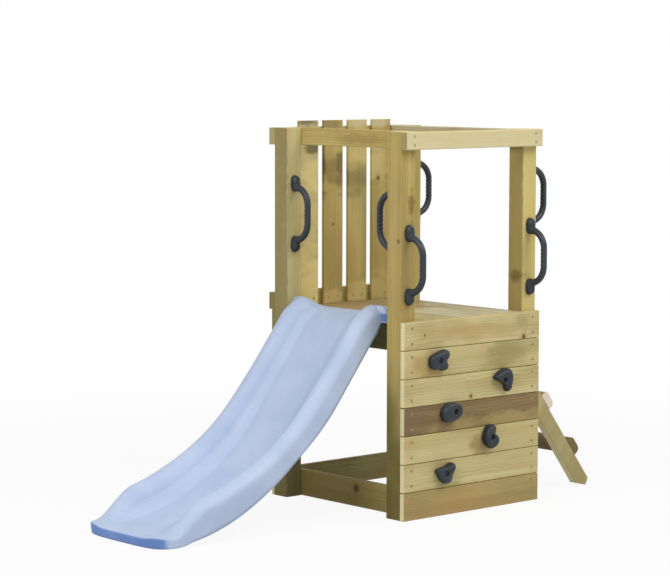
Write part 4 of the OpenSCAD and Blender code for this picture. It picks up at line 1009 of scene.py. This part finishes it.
def round_curve(points, count):
    """Samples of a smooth closed curve through the points."""
    samples = []
    for k in range(count):
        i, t = divmod(k * len(points) / count, 1)
        a, b, c, d = [Vector(points[(int(i) + j) % len(points)]) for j in (-1, 0, 1, 2)]
        samples.append(b + (c - a) * t / 2 + (2 * a - 5 * b + 4 * c - d) * t * t / 2
                       + (3 * b - a - 3 * c + d) * t ** 3 / 2)
    return samples


def raised(shape, face):
    """A new face on top of the last one, with a wall between them."""
    return bmesh.ops.extrude_discrete_faces(shape, faces=[face])["faces"][0]


def move_ring(face, places):
    for vert, place in zip(face.verts, places):
        vert.co = place


def hold_bolt_place(low, high):
    """The point on the wall face behind a hold where its bolt goes in."""
    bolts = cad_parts["hold_bolts"].data.vertices
    inside = [v.co for v in bolts if low.x < v.co.x < high.x and low.z < v.co.z < high.z]
    x = (min(p.x for p in inside) + max(p.x for p in inside)) / 2
    z = (min(p.z for p in inside) + max(p.z for p in inside)) / 2
    return Vector((x, high.y, z))


def climbing_hold(node, points, finish):
    """A block that rises from its outline to a rounded top, with the bolt's recess sunk in it."""
    outline = round_curve(points, HOLD_SIDES)
    mean_share = sum(p.z for p in outline) / HOLD_SIDES
    shape = bmesh.new()
    circle = bmesh.ops.create_circle(shape, cap_ends=True, segments=HOLD_SIDES, radius=1)["verts"]
    top = circle[0].link_faces[0]
    move_ring(top, [(MM * p.x, MM * p.y, 0) for p in outline])
    for share, rise in HOLD_PROFILE:
        top = raised(shape, top)
        move_ring(top, [(share * MM * p.x, share * MM * p.y,
                         HOLD_HEIGHT * rise * mix(mean_share, p.z, math.sqrt(share))) for p in outline])
    first = math.atan2(outline[0].y, outline[0].x)
    turns = [first - 2 * math.pi * k / HOLD_SIDES for k in range(HOLD_SIDES)]
    mouth = [(share, HOLD_HEIGHT * mean_share * rise) for share, rise in RECESS_MOUTH]
    for share, height in mouth + RECESS_FOOT:
        top = raised(shape, top)
        reach = share * BOLT_RECESS
        move_ring(top, [(reach * math.cos(a), reach * math.sin(a), height) for a in turns])
    bmesh.ops.holes_fill(shape, edges=[e for e in shape.edges if e.is_boundary], sides=0)
    upright = Matrix.Rotation(math.pi / 2, 4, "X")
    place = Matrix.Translation(hold_bolt_place(*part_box(node)))
    bmesh.ops.transform(shape, matrix=place @ upright, verts=shape.verts)
    bmesh.ops.recalc_face_normals(shape, faces=shape.faces)
    piece = new_object(node.replace("climbing_hold", "moulded_hold"), shape)
    smooth_shaded(piece)
    rounded = piece.modifiers.new("rounded", "SUBSURF")
    rounded.levels = rounded.render_levels = 1
    dress(piece, node, finish)


def climbing_holds():
    finish = plastic_finish("hold_grey", HOLD_GREY, roughness=0.36, grain_size=0.0016, depth=0.0004)
    for node, outline in HOLD_OUTLINES.items():
        climbing_hold(node, outline, finish)


bpy.context.scene.view_settings.view_transform = "Standard"
place_camera()
white_world()
soft_lamp("key_lamp", KEY_PLACE, KEY_SIZE, KEY_POWER)
soft_lamp("fill_lamp", FILL_PLACE, FILL_SIZE, FILL_POWER)
pale_floor()
finish_timber()
finish_fasteners()
moulded_slide()
grab_handles()
climbing_holds()
